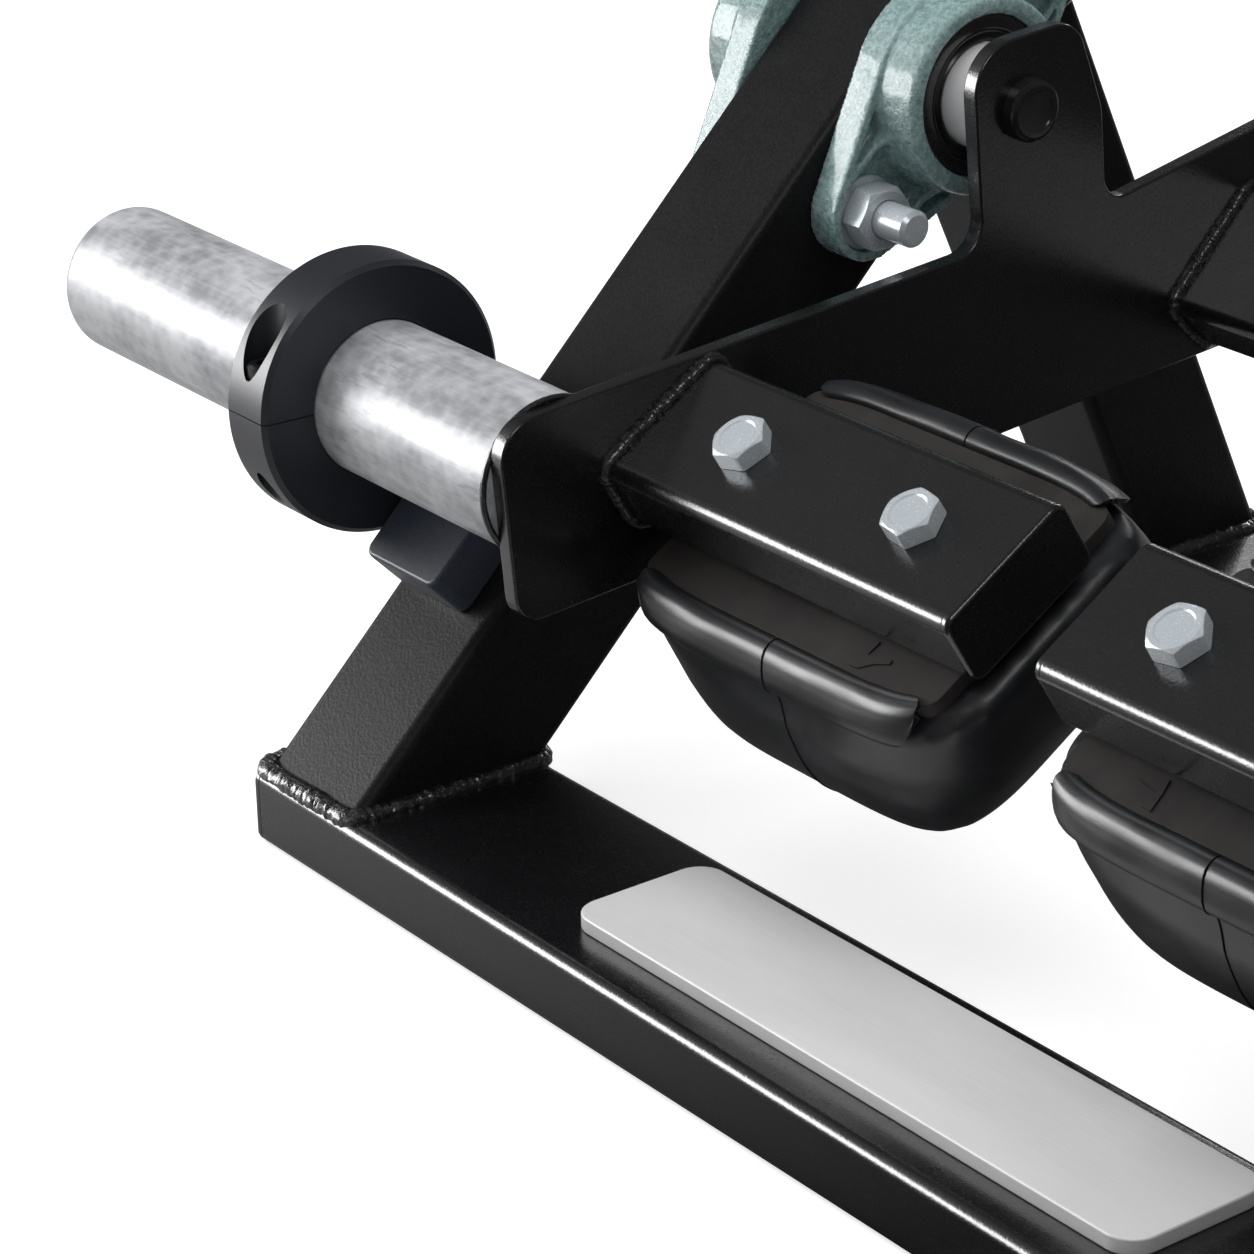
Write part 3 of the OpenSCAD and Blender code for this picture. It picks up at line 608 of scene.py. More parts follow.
def skin(rings: Sequence[Sequence[Vector]], bored: bool = False, falling: bool = False) -> Shape:
    """Solid over a stack of rings that have the same number of points.

    Args:
        rings: The rings, counterclockwise seen from above.
        bored: Whether the last ring joins the first, where otherwise both are filled.
        falling: Whether the rings are listed from the top down.

    Returns:
        The solid.
    """
    n = len(rings[0])
    last = (len(rings) - 1) * n
    shape = Shape().add((p for ring in rings for p in ring), ())
    for low in range(0, last, n):
        for i in range(n):
            j = (i + 1) % n
            a, b = (j, i) if falling else (i, j)
            shape.faces.append((low + a, low + b, low + n + b, low + n + a))
    if bored:
        shape.faces += [(last + i, last + (i + 1) % n, (i + 1) % n, i) for i in range(n)]
    else:
        first, final = range(n), range(last, last + n)
        shape.faces += [tuple(e) for e in ((first, final[::-1]) if falling else (first[::-1], final))]
    return shape


def hexagon(flats: float, height: float, bore: float = 0.0, both: bool = False, dish: float = 0.0) -> Shape:
    """Forged hexagon with turned chamfers.

    Args:
        flats: Width across the flats.
        height: Height of the piece.
        bore: Radius of its bore, or 0 for a bolt's head.
        both: Whether the lower face is chamfered too.
        dish: Depth of a shallow round dish in the upper face.

    Returns:
        The hexagon, standing on Z = 0.
    """
    per_side, lead, worn = 10, 0.6, 0.12
    face_r = flats / 2 * 0.95
    low_r = face_r if both else flats / 2 * 0.94
    slope = math.tan(math.radians(30))

    def ring(radius: Callable[[float], float], z: Callable[[float], float]) -> list[Vector]:
        """One ring of points."""
        return [polar(radius(a), a, z(a)) for a in turns(6 * per_side)]

    def even(r: float, z: float) -> list[Vector]:
        """One round and level ring."""
        return ring(lambda a: r, lambda a: z)

    def edge(a: float) -> float:
        """Radius of the side, its corners a little worn."""
        return min(hex_radius(flats, a), flats / 2 / math.cos(math.radians(30)) * 0.985)

    def drop(a: float) -> float:
        """Depth that the chamfer reaches at the side."""
        return max(0.0, edge(a) - face_r) * slope

    rings = [even(low_r, 0.0), ring(edge, drop if both else (lambda a: 0.15)),
             ring(edge, lambda a: height - drop(a) - worn),
             ring(lambda a: edge(a) - worn, lambda a: height - max(0.0, edge(a) - worn - face_r) * slope),
             even(face_r, height)]
    if bore > 0:
        rings = [even(bore, lead), even(bore + lead, 0.0), *rings, even(bore + lead, height),
                 even(bore, height - lead)]
    elif dish > 0:
        rings += [even(face_r * 0.8, height), even(face_r * 0.72, height - dish)]
    return skin(rings, bored=bore > 0)


def washer(outer: float, inner: float, thick: float, count: int = 64) -> Shape:
    """Flat washer with softened rims, standing on Z = 0."""
    e = min(0.35, thick / 4)
    return lathe([(inner, e), (inner + e, 0), (outer - e, 0), (outer, e), (outer, thick - e),
                  (outer - e, thick), (inner + e, thick), (inner, thick - e)], count, closed=True)


def cut_by_plane(shape: Shape, origin: Vector, normal: Vector) -> Shape:
    """Cuts a convex solid and closes the cut.

    Args:
        shape: Solid to cut.
        origin: Point on the cutting plane.
        normal: Side that is taken away.

    Returns:
        What is left.
    """
    bm = bmesh.new()
    shape.add_to(bm)
    geom = bm.verts[:] + bm.edges[:] + bm.faces[:]
    cut = bmesh.ops.bisect_plane(bm, geom=geom, plane_co=origin, plane_no=normal, clear_outer=True)
    edges = [e for e in cut["geom_cut"] if isinstance(e, bmesh.types.BMEdge)]
    bmesh.ops.holes_fill(bm, edges=edges, sides=0)
    bmesh.ops.recalc_face_normals(bm, faces=bm.faces[:])
    bm.verts.index_update()
    out = Shape().add([v.co for v in bm.verts], [[v.index for v in f.verts] for f in bm.faces])
    bm.free()
    return out


class Wiring:
    """Short names for making nodes in one tree."""

    def __init__(self, tree: bpy.types.NodeTree) -> None:
        """Keeps the tree."""
        self.tree = tree

    def node(self, kind: str, **settings: object) -> bpy.types.Node:
        """Makes a node and sets its options."""
        made = self.tree.nodes.new(kind)
        for key, value in settings.items():
            setattr(made, key, value)
        return made

    def link(self, a: bpy.types.NodeSocket, b: bpy.types.NodeSocket) -> None:
        """Joins two sockets."""
        self.tree.links.new(a, b)

    def put(self, value: object, socket: bpy.types.NodeSocket) -> None:
        """Sets a socket, or joins it to another."""
        if isinstance(value, bpy.types.NodeSocket):
            self.link(value, socket)
        else:
            socket.default_value = value

    def math(self, operation: str, a: object, b: object = 0.0, clamp: bool = False) -> bpy.types.NodeSocket:
        """Adds a math node."""
        made = self.node("ShaderNodeMath", operation=operation, use_clamp=clamp)
        self.put(a, made.inputs[0])
        self.put(b, made.inputs[1])
        return made.outputs[0]

    def spread(self, value: object, low: float, high: float, to_low: float = 0.0,
               to_high: float = 1.0) -> bpy.types.NodeSocket:
        """Maps a range of values to another."""
        made = self.node("ShaderNodeMapRange")
        for key, given in (("Value", value), ("From Min", low), ("From Max", high), ("To Min", to_low),
                           ("To Max", to_high)):
            self.put(given, made.inputs[key])
        return made.outputs["Result"]

    def place(self, stretch: Sequence[float] = (1.0, 1.0, 1.0), turn: Sequence[float] = (0.0, 0.0, 0.0)
              ) -> bpy.types.NodeSocket:
        """Object coordinates, stretched and turned."""
        coord = self.node("ShaderNodeTexCoord")
        mapping = self.node("ShaderNodeMapping")
        mapping.inputs["Scale"].default_value = stretch
        mapping.inputs["Rotation"].default_value = turn
        self.link(coord.outputs["Object"], mapping.inputs["Vector"])
        return mapping.outputs["Vector"]

    def noise(self, vector: bpy.types.NodeSocket, scale: object, detail: float = 2.0,
              rough: float = 0.5) -> bpy.types.NodeSocket:
        """Adds a noise texture."""
        made = self.node("ShaderNodeTexNoise")
        self.link(vector, made.inputs["Vector"])
        self.put(scale, made.inputs["Scale"])
        made.inputs["Detail"].default_value = detail
        made.inputs["Roughness"].default_value = rough
        return made.outputs["Fac"]

    def cells(self, vector: bpy.types.NodeSocket, scale: object, feature: str = "F1") -> bpy.types.NodeSocket:
        """Adds a cell texture."""
        made = self.node("ShaderNodeTexVoronoi", feature=feature)
        self.link(vector, made.inputs["Vector"])
        self.put(scale, made.inputs["Scale"])
        return made.outputs["Distance"]


Sockets = dict[str, bpy.types.NodeSocket]
Effect = Callable[[], bpy.types.ShaderNodeTree]


def effect(*outputs: str, **inputs: float) -> Callable[[Callable[[Wiring, Sockets, Sockets], None]], Effect]:
    """Turns a function that wires a node group into one that finds or makes the group.

    Args:
        outputs: Names of the values that the group puts out.
        inputs: Values that it takes in, and what they are unless they are set.

    Returns:
        The decorator.
    """
    def wrap(wire: Callable[[Wiring, Sockets, Sockets], None]) -> Effect:
        """Wraps one function."""
        @functools.wraps(wire)
        def find_or_make() -> bpy.types.ShaderNodeTree:
            """Finds the group, or makes it at the first call."""
            old = bpy.data.node_groups.get(wire.__name__)
            if old:
                return old
            tree = bpy.data.node_groups.new(wire.__name__, "ShaderNodeTree")
            for key, value in inputs.items():
                socket = tree.interface.new_socket(name=key, in_out="INPUT", socket_type="NodeSocketFloat")
                socket.default_value = value
            for key in outputs:
                tree.interface.new_socket(name=key, in_out="OUTPUT", socket_type="NodeSocketFloat")
            w = Wiring(tree)
            wire(w, w.node("NodeGroupInput").outputs, w.node("NodeGroupOutput").inputs)
            return tree
        return find_or_make
    return wrap


@effect("Tone", "Height", Size=900.0, Patch=28.0)
def powder_grain(w: Wiring, given: Sockets, out: Sockets) -> None:
    """Fine leathery speckle of baked powder paint."""
    at = w.place()
    fine = w.noise(at, given["Size"], 3.0, 0.6)
    pebble = w.cells(at, w.math("MULTIPLY", given["Size"], 1.15), "SMOOTH_F1")
    patch = w.noise(at, given["Patch"], 2.0)
    w.link(w.math("ADD", w.spread(fine, 0.35, 0.75, 0.0, 0.8), w.spread(patch, 0.3, 0.7, 0.0, 0.2)), out["Tone"])
    w.link(w.math("ADD", w.math("MULTIPLY", fine, 0.6), w.math("MULTIPLY", pebble, 0.9)), out["Height"])


@effect("Tone", "Height", Lines=1400.0, Cloud=22.0)
def brushed_lines(w: Wiring, given: Sockets, out: Sockets) -> None:
    """Fine lines of a brushed or drawn surface along X, with cloudy patches."""
    lines = w.noise(w.place((0.012, 1.0, 1.0)), given["Lines"], 3.0, 0.65)
    cloud = w.noise(w.place((0.35, 1.0, 1.0)), given["Cloud"], 4.0, 0.6)
    tone = w.math("ADD", w.math("MULTIPLY", lines, 0.45), w.math("MULTIPLY", cloud, 0.75))
    w.link(w.spread(tone, 0.42, 0.78), out["Tone"])
    w.link(lines, out["Height"])


@effect("Tone", "Height", "Flecks", Grain=420.0, Fleck=900.0)
def cast_skin(w: Wiring, given: Sockets, out: Sockets) -> None:
    """Sand-cast skin under hammered enamel, with bright flecks that are painted glints."""
    at = w.place()
    lump = w.noise(at, w.math("MULTIPLY", given["Grain"], 0.4), 3.0, 0.6)
    grain = w.noise(at, given["Grain"], 4.0, 0.65)
    tone = w.math("ADD", w.math("MULTIPLY", grain, 0.7), w.math("MULTIPLY", lump, 0.5))
    w.link(w.spread(tone, 0.45, 0.75), out["Tone"])
    w.link(w.math("ADD", grain, w.math("MULTIPLY", lump, 0.8)), out["Height"])
    w.link(w.spread(w.cells(at, given["Fleck"]), 0.0, 0.26, 1.0, 0.0), out["Flecks"])


@effect("Tone", "Height", "Flecks", Cloud=34.0)
def sleeve_skin(w: Wiring, given: Sockets, out: Sockets) -> None:
    """Zinc plating on a drawn tube: soft clouds, faint lines along it and rubbed marks."""
    cloud = w.noise(w.place((0.45, 1.0, 1.0)), given["Cloud"], 5.0, 0.62)
    spangle = w.cells(w.place(), 210.0)
    lines = w.noise(w.place((0.02, 1.0, 1.0)), 900.0, 2.0)
    marks = w.noise(w.place((0.16, 1.0, 1.0), (0.3, 0.2, 0.5)), 520.0, 3.0, 0.7)
    tone = w.math("ADD", w.math("MULTIPLY", cloud, 0.8), w.math("MULTIPLY", spangle, 0.16))
    w.link(w.spread(w.math("ADD", tone, w.math("MULTIPLY", lines, 0.14)), 0.42, 0.66), out["Tone"])
    w.link(w.math("ADD", lines, w.math("MULTIPLY", cloud, 1.5)), out["Height"])
    rubbed = w.spread(w.noise(w.place(), 26.0, 2.0), 0.46, 0.62)
    w.link(w.math("MULTIPLY", w.spread(marks, 0.56, 0.66), rubbed), out["Flecks"])


@effect("Mask", Break=160.0)
def worn_edges(w: Wiring, given: Sockets, out: Sockets) -> None:
    """Mask of sharp convex edges, broken up by noise, where a paler colour is painted on as an edge highlight."""
    edge = w.spread(w.node("ShaderNodeNewGeometry").outputs["Pointiness"], 0.52, 0.60)
    broken = w.spread(w.noise(w.place(), given["Break"], 4.0, 0.7), 0.45, 0.62)
    w.link(w.math("MULTIPLY", edge, broken, clamp=True), out["Mask"])


@effect("Tone", "Height", "Dust", Pores=1500.0, Dust=34.0)
def hide_grain(w: Wiring, given: Sockets, out: Sockets) -> None:
    """Soft grain and faint dust of moulded vinyl."""
    at = w.place()
    pores = w.cells(at, given["Pores"], "SMOOTH_F1")
    fold = w.noise(w.place((0.5, 1.0, 1.0)), 70.0, 3.0, 0.55)
    dust = w.noise(at, given["Dust"], 5.0, 0.7)
    w.link(w.spread(w.noise(at, 55.0, 3.0), 0.3, 0.7), out["Tone"])
    w.link(w.math("ADD", w.math("MULTIPLY", pores, 0.25), fold), out["Height"])
    w.link(w.spread(dust, 0.50, 0.78), out["Dust"])


@dataclass(frozen=True)
class Finish:
    """One surface finish: its colours, its gloss and the effect that varies them."""

    name: str
    slot: str
    dark: Colour
    light: Colour
    effect: Effect
    effect_sizes: tuple[tuple[str, float], ...] = ()
    rough: tuple[float, float] = (0.35, 0.45)
    metallic: float = 0.0
    specular: float = 0.5
    coat: float = 0.0
    coat_rough: float = 0.1
    bump: float = 0.2
    bump_depth: float = 0.00012
    # Paler colour painted on sharp edges: a painted edge highlight.
    worn: Optional[Colour] = None
    fleck: Optional[Colour] = None
    dust: Optional[Colour] = None

    def material(self) -> bpy.types.Material:
        """Finds or makes the material.

        Returns:
            The material of this finish.
        """
        old = bpy.data.materials.get(self.name)
        if old:
            return old
        mat = bpy.data.materials.new(self.name)
        mat.use_nodes = True
        w = Wiring(mat.node_tree)
        shader = mat.node_tree.nodes["Principled BSDF"]
        group = w.node("ShaderNodeGroup", node_tree=self.effect())
        for key, value in self.effect_sizes:
            group.inputs[key].default_value = value
        colour = self._mix(w, group.outputs["Tone"], self.dark, self.light)
        over = []
        # Painted glints on the casting and the weld beads, rubbed scuffs on the horn.
        if self.fleck:
            over.append((group.outputs["Flecks"], 0.8, self.fleck))
        if self.dust:
            over.append((group.outputs["Dust"], 0.55, self.dust))
        # Sharp edges mixed toward a paler colour: a painted edge highlight.
        if self.worn:
            over.append((w.node("ShaderNodeGroup", node_tree=worn_edges()).outputs["Mask"], 0.6, self.worn))
        for mask, share, paint in over:
            colour = self._mix(w, w.math("MULTIPLY", mask, share), colour, paint)
        w.link(colour, shader.inputs["Base Color"])
        w.link(w.spread(group.outputs["Tone"], 0.0, 1.0, *self.rough), shader.inputs["Roughness"])
        bump = w.node("ShaderNodeBump")
        bump.inputs["Strength"].default_value = self.bump
        bump.inputs["Distance"].default_value = self.bump_depth
        w.link(group.outputs["Height"], bump.inputs["Height"])
        w.link(bump.outputs["Normal"], shader.inputs["Normal"])
        for key, value in (("Metallic", self.metallic), ("Specular IOR Level", self.specular),
                           ("Coat Weight", self.coat), ("Coat Roughness", self.coat_rough)):
            shader.inputs[key].default_value = value
        return mat

    @staticmethod
    def _mix(w: Wiring, factor: bpy.types.NodeSocket, a: object, b: object) -> bpy.types.NodeSocket:
        """Mixes two colours or sockets."""
        made = w.node("ShaderNodeMix", data_type="RGBA")
        w.link(factor, made.inputs["Factor"])
        for value, key in ((a, 6), (b, 7)):
            if isinstance(value, bpy.types.NodeSocket):
                w.link(value, made.inputs[key])
            else:
                made.inputs[key].default_value = (*value, 1.0)
        return made.outputs[2]


POWDER = Finish("black powder paint", "black_paint", (0.0065, 0.0065, 0.007), (0.017, 0.017, 0.018), powder_grain,
                (("Size", 950.0), ("Patch", 60.0)), (0.34, 0.44), specular=0.17, bump=0.28, bump_depth=0.00022)
SATIN = Finish("black satin paint", "black_paint", (0.0035, 0.0035, 0.004), (0.007, 0.007, 0.008), powder_grain,
               (("Size", 1100.0), ("Patch", 60.0)), (0.22, 0.30), specular=1.0, coat=0.4,
               coat_rough=0.2, bump=0.2, bump_depth=0.0002)
# Its flecks are painted glints.
BEAD = Finish("painted weld bead", "black_paint", (0.004, 0.004, 0.005), (0.012, 0.012, 0.013), cast_skin,
              (("Grain", 520.0), ("Fleck", 300.0)), (0.06, 0.16), specular=0.7, coat=1.0, coat_rough=0.05, bump=1.0,
              bump_depth=0.0008, fleck=(0.02, 0.02, 0.02))
PLATE = Finish("brushed foot plate", "brushed_plate", (0.71, 0.71, 0.71), (0.80, 0.80, 0.80), brushed_lines,
               (("Lines", 1600.0), ("Cloud", 26.0)), (0.42, 0.52), metallic=0.1, bump=0.1)
# Its flecks are painted glints.
# Its worn colour is a painted edge highlight on the sharp edges.
CAST = Finish("green hammered casting", "cast_green", (0.175, 0.290, 0.286), (0.360, 0.515, 0.512), cast_skin,
              (("Grain", 620.0), ("Fleck", 800.0)), (0.20, 0.34), metallic=0.0, specular=0.6, coat=0.6,
              coat_rough=0.12, bump=1.0, bump_depth=0.0008, worn=(0.62, 0.73, 0.73), fleck=(0.57, 0.68, 0.69))
# Race steel drawn near white and barely metallic: a painted bright reflection.
BRIGHT_PAINTED_RACE = Finish("ground race steel", "race_steel", (0.84, 0.84, 0.85), (0.93, 0.93, 0.94), brushed_lines,
              (("Lines", 2200.0), ("Cloud", 60.0)), (0.28, 0.36), metallic=0.0, specular=1.0, bump=0.04)
# The same race steel drawn near black: a painted dark reflection.
DARK_PAINTED_RACE = Finish("blued race steel", "race_steel", (0.016, 0.014, 0.014), (0.035, 0.031, 0.031), brushed_lines,
                   (("Lines", 2200.0), ("Cloud", 60.0)), (0.12, 0.20), specular=0.8, bump=0.04)
SEAL = Finish("black seal rubber", "black_rubber", (0.005, 0.0045, 0.0045), (0.010, 0.009, 0.009), hide_grain,
              (("Pores", 2600.0),), (0.20, 0.28), specular=0.7, bump=0.06)
OXIDE = Finish("black oxide steel", "black_oxide", (0.012, 0.012, 0.013), (0.035, 0.035, 0.037), cast_skin,
               (("Grain", 900.0),), (0.28, 0.4), metallic=0.6, bump=0.1)
ZINC = Finish("bright zinc fasteners", "zinc_plate", (0.55, 0.60, 0.64), (0.67, 0.72, 0.76), powder_grain,
              (("Size", 1600.0), ("Patch", 240.0)), (0.22, 0.30), metallic=0.3, bump=0.08, bump_depth=0.00015)
HORN = Finish("zinc plated sleeve", "zinc_plate", (0.30, 0.31, 0.33), (0.58, 0.59, 0.61), sleeve_skin,
              (("Cloud", 62.0),), (0.30, 0.42), metallic=0.12, specular=0.45, bump=0.10,
              fleck=(0.30, 0.31, 0.33))
SHAFT = Finish("oiled black shaft", "shaft_steel", (0.006, 0.006, 0.0065), (0.018, 0.018, 0.019), brushed_lines,
               (("Lines", 1500.0), ("Cloud", 80.0)), (0.14, 0.24), specular=0.6, bump=0.06)
COLLAR = Finish("blued collar steel", "collar_black", (0.013, 0.015, 0.0195), (0.024, 0.028, 0.036), powder_grain,
                (("Size", 2200.0), ("Patch", 40.0)), (0.36, 0.44), specular=0.65, bump=0.06)
BLOCK = Finish("moulded stop block", "block_polymer", (0.032, 0.038, 0.054), (0.056, 0.067, 0.094), powder_grain,
               (("Size", 1300.0), ("Patch", 40.0)), (0.38, 0.46), specular=0.5, bump=0.08)
BOARD = Finish("faced pad board", "plywood", (0.024, 0.021, 0.020), (0.036, 0.033, 0.031), hide_grain,
               (("Pores", 700.0), ("Dust", 60.0)), (0.55, 0.7), specular=0.3, bump=0.25,
               dust=(0.060, 0.056, 0.053))
VINYL = Finish("moulded pad vinyl", "black_vinyl", (0.0058, 0.0065, 0.0082), (0.0122, 0.0135, 0.0168), hide_grain,
               (("Pores", 1700.0), ("Dust", 30.0)), (0.34, 0.44), specular=0.8, bump=0.22, bump_depth=0.0003,
               dust=(0.032, 0.035, 0.040))
SEAM = Finish("pad seam", "black_vinyl", (0.002, 0.002, 0.0025), (0.004, 0.004, 0.005), hide_grain, (), (0.5, 0.6),
              specular=0.2)

NODE_FINISHES: tuple[tuple[str, Finish], ...] = (
    ("foot_rest_plate", PLATE), ("_housing", CAST), ("outer_races", DARK_PAINTED_RACE), ("inner_races", BRIGHT_PAINTED_RACE),
    ("race_seals", SEAL), ("set_screws", OXIDE), ("collar_screw", OXIDE), ("stop_block_screws", OXIDE),
    ("housing_bolts", ZINC), ("housing_washers", ZINC), ("housing_nuts", ZINC), ("pad_bolts", ZINC),
    ("tee_nuts", ZINC), ("weight_horn", HORN), ("horn_plug", HORN), ("_shaft", SHAFT), ("_collar", COLLAR),
    ("stop_block", BLOCK), ("pad_board", BOARD), ("_pad", VINYL), ("_leg", POWDER), ("", SATIN),
)


def linked(name: str, data: bpy.types.ID) -> bpy.types.Object:
    """Makes an object round its data and links it to the scene."""
    obj = bpy.data.objects.new(name, data)
    bpy.context.scene.collection.objects.link(obj)
    return obj


def modify(obj: bpy.types.Object, kind: str, **settings: object) -> bpy.types.Modifier:
    """Gives an object a modifier and sets its options."""
    mod = obj.modifiers.new(kind.lower(), kind)
    for key, value in settings.items():
        setattr(mod, key, value)
    return mod


class Workshop:
    """Makes the pieces, dresses them and tells the frame where they belong."""

    flat_sharp = 40.0
    merge_gap = 0.01
    merge_angle = 1.5

    def __init__(self, nodes: dict[str, bpy.types.Object]) -> None:
        """Keeps the frame's nodes."""
        self.nodes = nodes

    def dress_nodes(self) -> None:
        """Gives every node of the frame its finish."""
        for name, node in self.nodes.items():
            finish = next(f for key, f in NODE_FINISHES if key in name)
            node.data.materials.clear()
            node.data.materials.append(finish.material())

    def mesh_object(self, name: str, shape: Shape) -> bpy.types.Object:
        """Makes an object of a shape, in metres.

        Args:
            name: Name of the object.
            shape: Its points and faces in millimetres.

        Returns:
            The object, linked to the scene.
        """
        mesh = bpy.data.meshes.new(name)
        mesh.from_pydata([p * MM for p in shape.points], [], shape.faces)
        mesh.validate()
        return linked(name, mesh)

    def piece(self, name: str, shape: Shape, finish: Finish, body: str, replaces: Sequence[str] = (),
              **edges: float) -> bpy.types.Object:
        """Makes a finished piece.

        Args:
            name: Name of the piece.
            shape: Its points and faces in millimetres.
            finish: Its finish.
            body: Body that it rides on.
            replaces: Nodes that it stands for.
            edges: How its edges are rounded, in the words of finish_piece.

        Returns:
            The piece.
        """
        return self.finish_piece(self.mesh_object(name, shape), finish, body, replaces, **edges)

    def finish_piece(self, obj: bpy.types.Object, finish: Finish, body: str, replaces: Sequence[str] = (),
                     bevel: float = 0.0, segments: int = 2, sharp: float = 32.0) -> bpy.types.Object:
        """Rounds, smooths, paints and registers an object that is already in place.

        Args:
            obj: The object.
            finish: Its finish.
            body: Body that it rides on.
            replaces: Nodes that it stands for.
            bevel: Width of its edge rounding in millimetres, or 0.
            segments: Faces across each rounded edge.
            sharp: Angle above which an edge is rounded or stays sharp, in degrees.

        Returns:
            The same object.
        """
        if bevel > 0:
            modify(obj, "BEVEL", width=bevel * MM, segments=segments, limit_method="ANGLE",
                   angle_limit=math.radians(sharp), use_clamp_overlap=True)
            self.apply(obj)
        obj.data.shade_smooth()
        obj.data.set_sharp_from_angle(angle=math.radians(sharp))
        if sharp <= self.flat_sharp:
            modify(obj, "WEIGHTED_NORMAL", keep_sharp=True)
            self.apply(obj)
        obj.data.materials.clear()
        obj.data.materials.append(finish.material())
        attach(obj, body)
        if replaces:
            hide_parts(*replaces)
        LOG.info("%s: %d faces on %s", obj.name, len(obj.data.polygons), body)
        return obj

    def apply(self, obj: bpy.types.Object) -> None:
        """Bakes an object's modifiers into its mesh."""
        graph = bpy.context.evaluated_depsgraph_get()
        mesh = bpy.data.meshes.new_from_object(obj.evaluated_get(graph))
        old = obj.data
        obj.modifiers.clear()
        obj.data = mesh
        mesh.name = obj.name
        bpy.data.meshes.remove(old)

    def cut(self, obj: bpy.types.Object, shape: Shape, name: str) -> None:
        """Cuts a shape out of an object.

        Args:
            obj: Object that is cut.
            shape: What is taken away, in millimetres.
            name: Name of the passing cutter.
        """
        cutter = self.mesh_object(name, shape)
        modify(obj, "BOOLEAN", operation="DIFFERENCE", solver="EXACT", object=cutter)
        bpy.context.view_layer.update()
        self.apply(obj)
        mesh = cutter.data
        bpy.data.objects.remove(cutter)
        bpy.data.meshes.remove(mesh)

    def weld_on(self, obj: bpy.types.Object, shape: Shape) -> None:
        """Adds a shape's faces to an object's mesh.

        Args:
            obj: Object that gets them.
            shape: Closed solids in millimetres.
        """
        bm = bmesh.new()
        bm.from_mesh(obj.data)
        shape.add_to(bm, MM)
        bm.to_mesh(obj.data)
        bm.free()

    def copy_node(self, node: str, name: str, merged: bool = True) -> bpy.types.Object:
        """Copies a node as welded mesh that can be dressed.

        Args:
            node: Node to copy.
            name: Name of the copy.
            merged: Whether its flat areas become one face each.

        Returns:
            The copy.
        """
        bm = bmesh.new()
        bm.from_mesh(self.nodes[node].data)
        bmesh.ops.remove_doubles(bm, verts=bm.verts[:], dist=self.merge_gap * MM)
        if merged:
            bmesh.ops.dissolve_limit(bm, angle_limit=math.radians(self.merge_angle), verts=bm.verts[:],
                                     edges=bm.edges[:])
        mesh = bpy.data.meshes.new(name)
        bm.to_mesh(mesh)
        bm.free()
        return linked(name, mesh)


@dataclass
class Assembly:
    """Sub-assembly of the machine."""

    s: Sizes
    places: Places
    shop: Workshop


@dataclass
class ArmAssembly(Assembly):
    """Sub-assembly that rides on one arm."""

    side: Side

    @property
    def name(self) -> str:
        """First word of the names of this side's pieces."""
        return self.side.value

    @property
    def body(self) -> str:
        """Name of the arm's body."""
        return f"{self.name}_arm"

    def piece(self, name: str, shape: Shape, finish: Finish, *nodes: str, **edges: float) -> None:
        """Makes a finished piece of this side.

        Args:
            name: Name of the piece, without its side.
            shape: Its points and faces in millimetres.
            finish: Its finish.
            nodes: Nodes that it stands for, without their side.
            edges: How its edges are rounded, in the words of Workshop.finish_piece.
        """
        replaces = [f"{self.name}_{node}" for node in nodes]
        self.shop.piece(f"{self.name}_{name}", shape, finish, self.body, replaces, **edges)


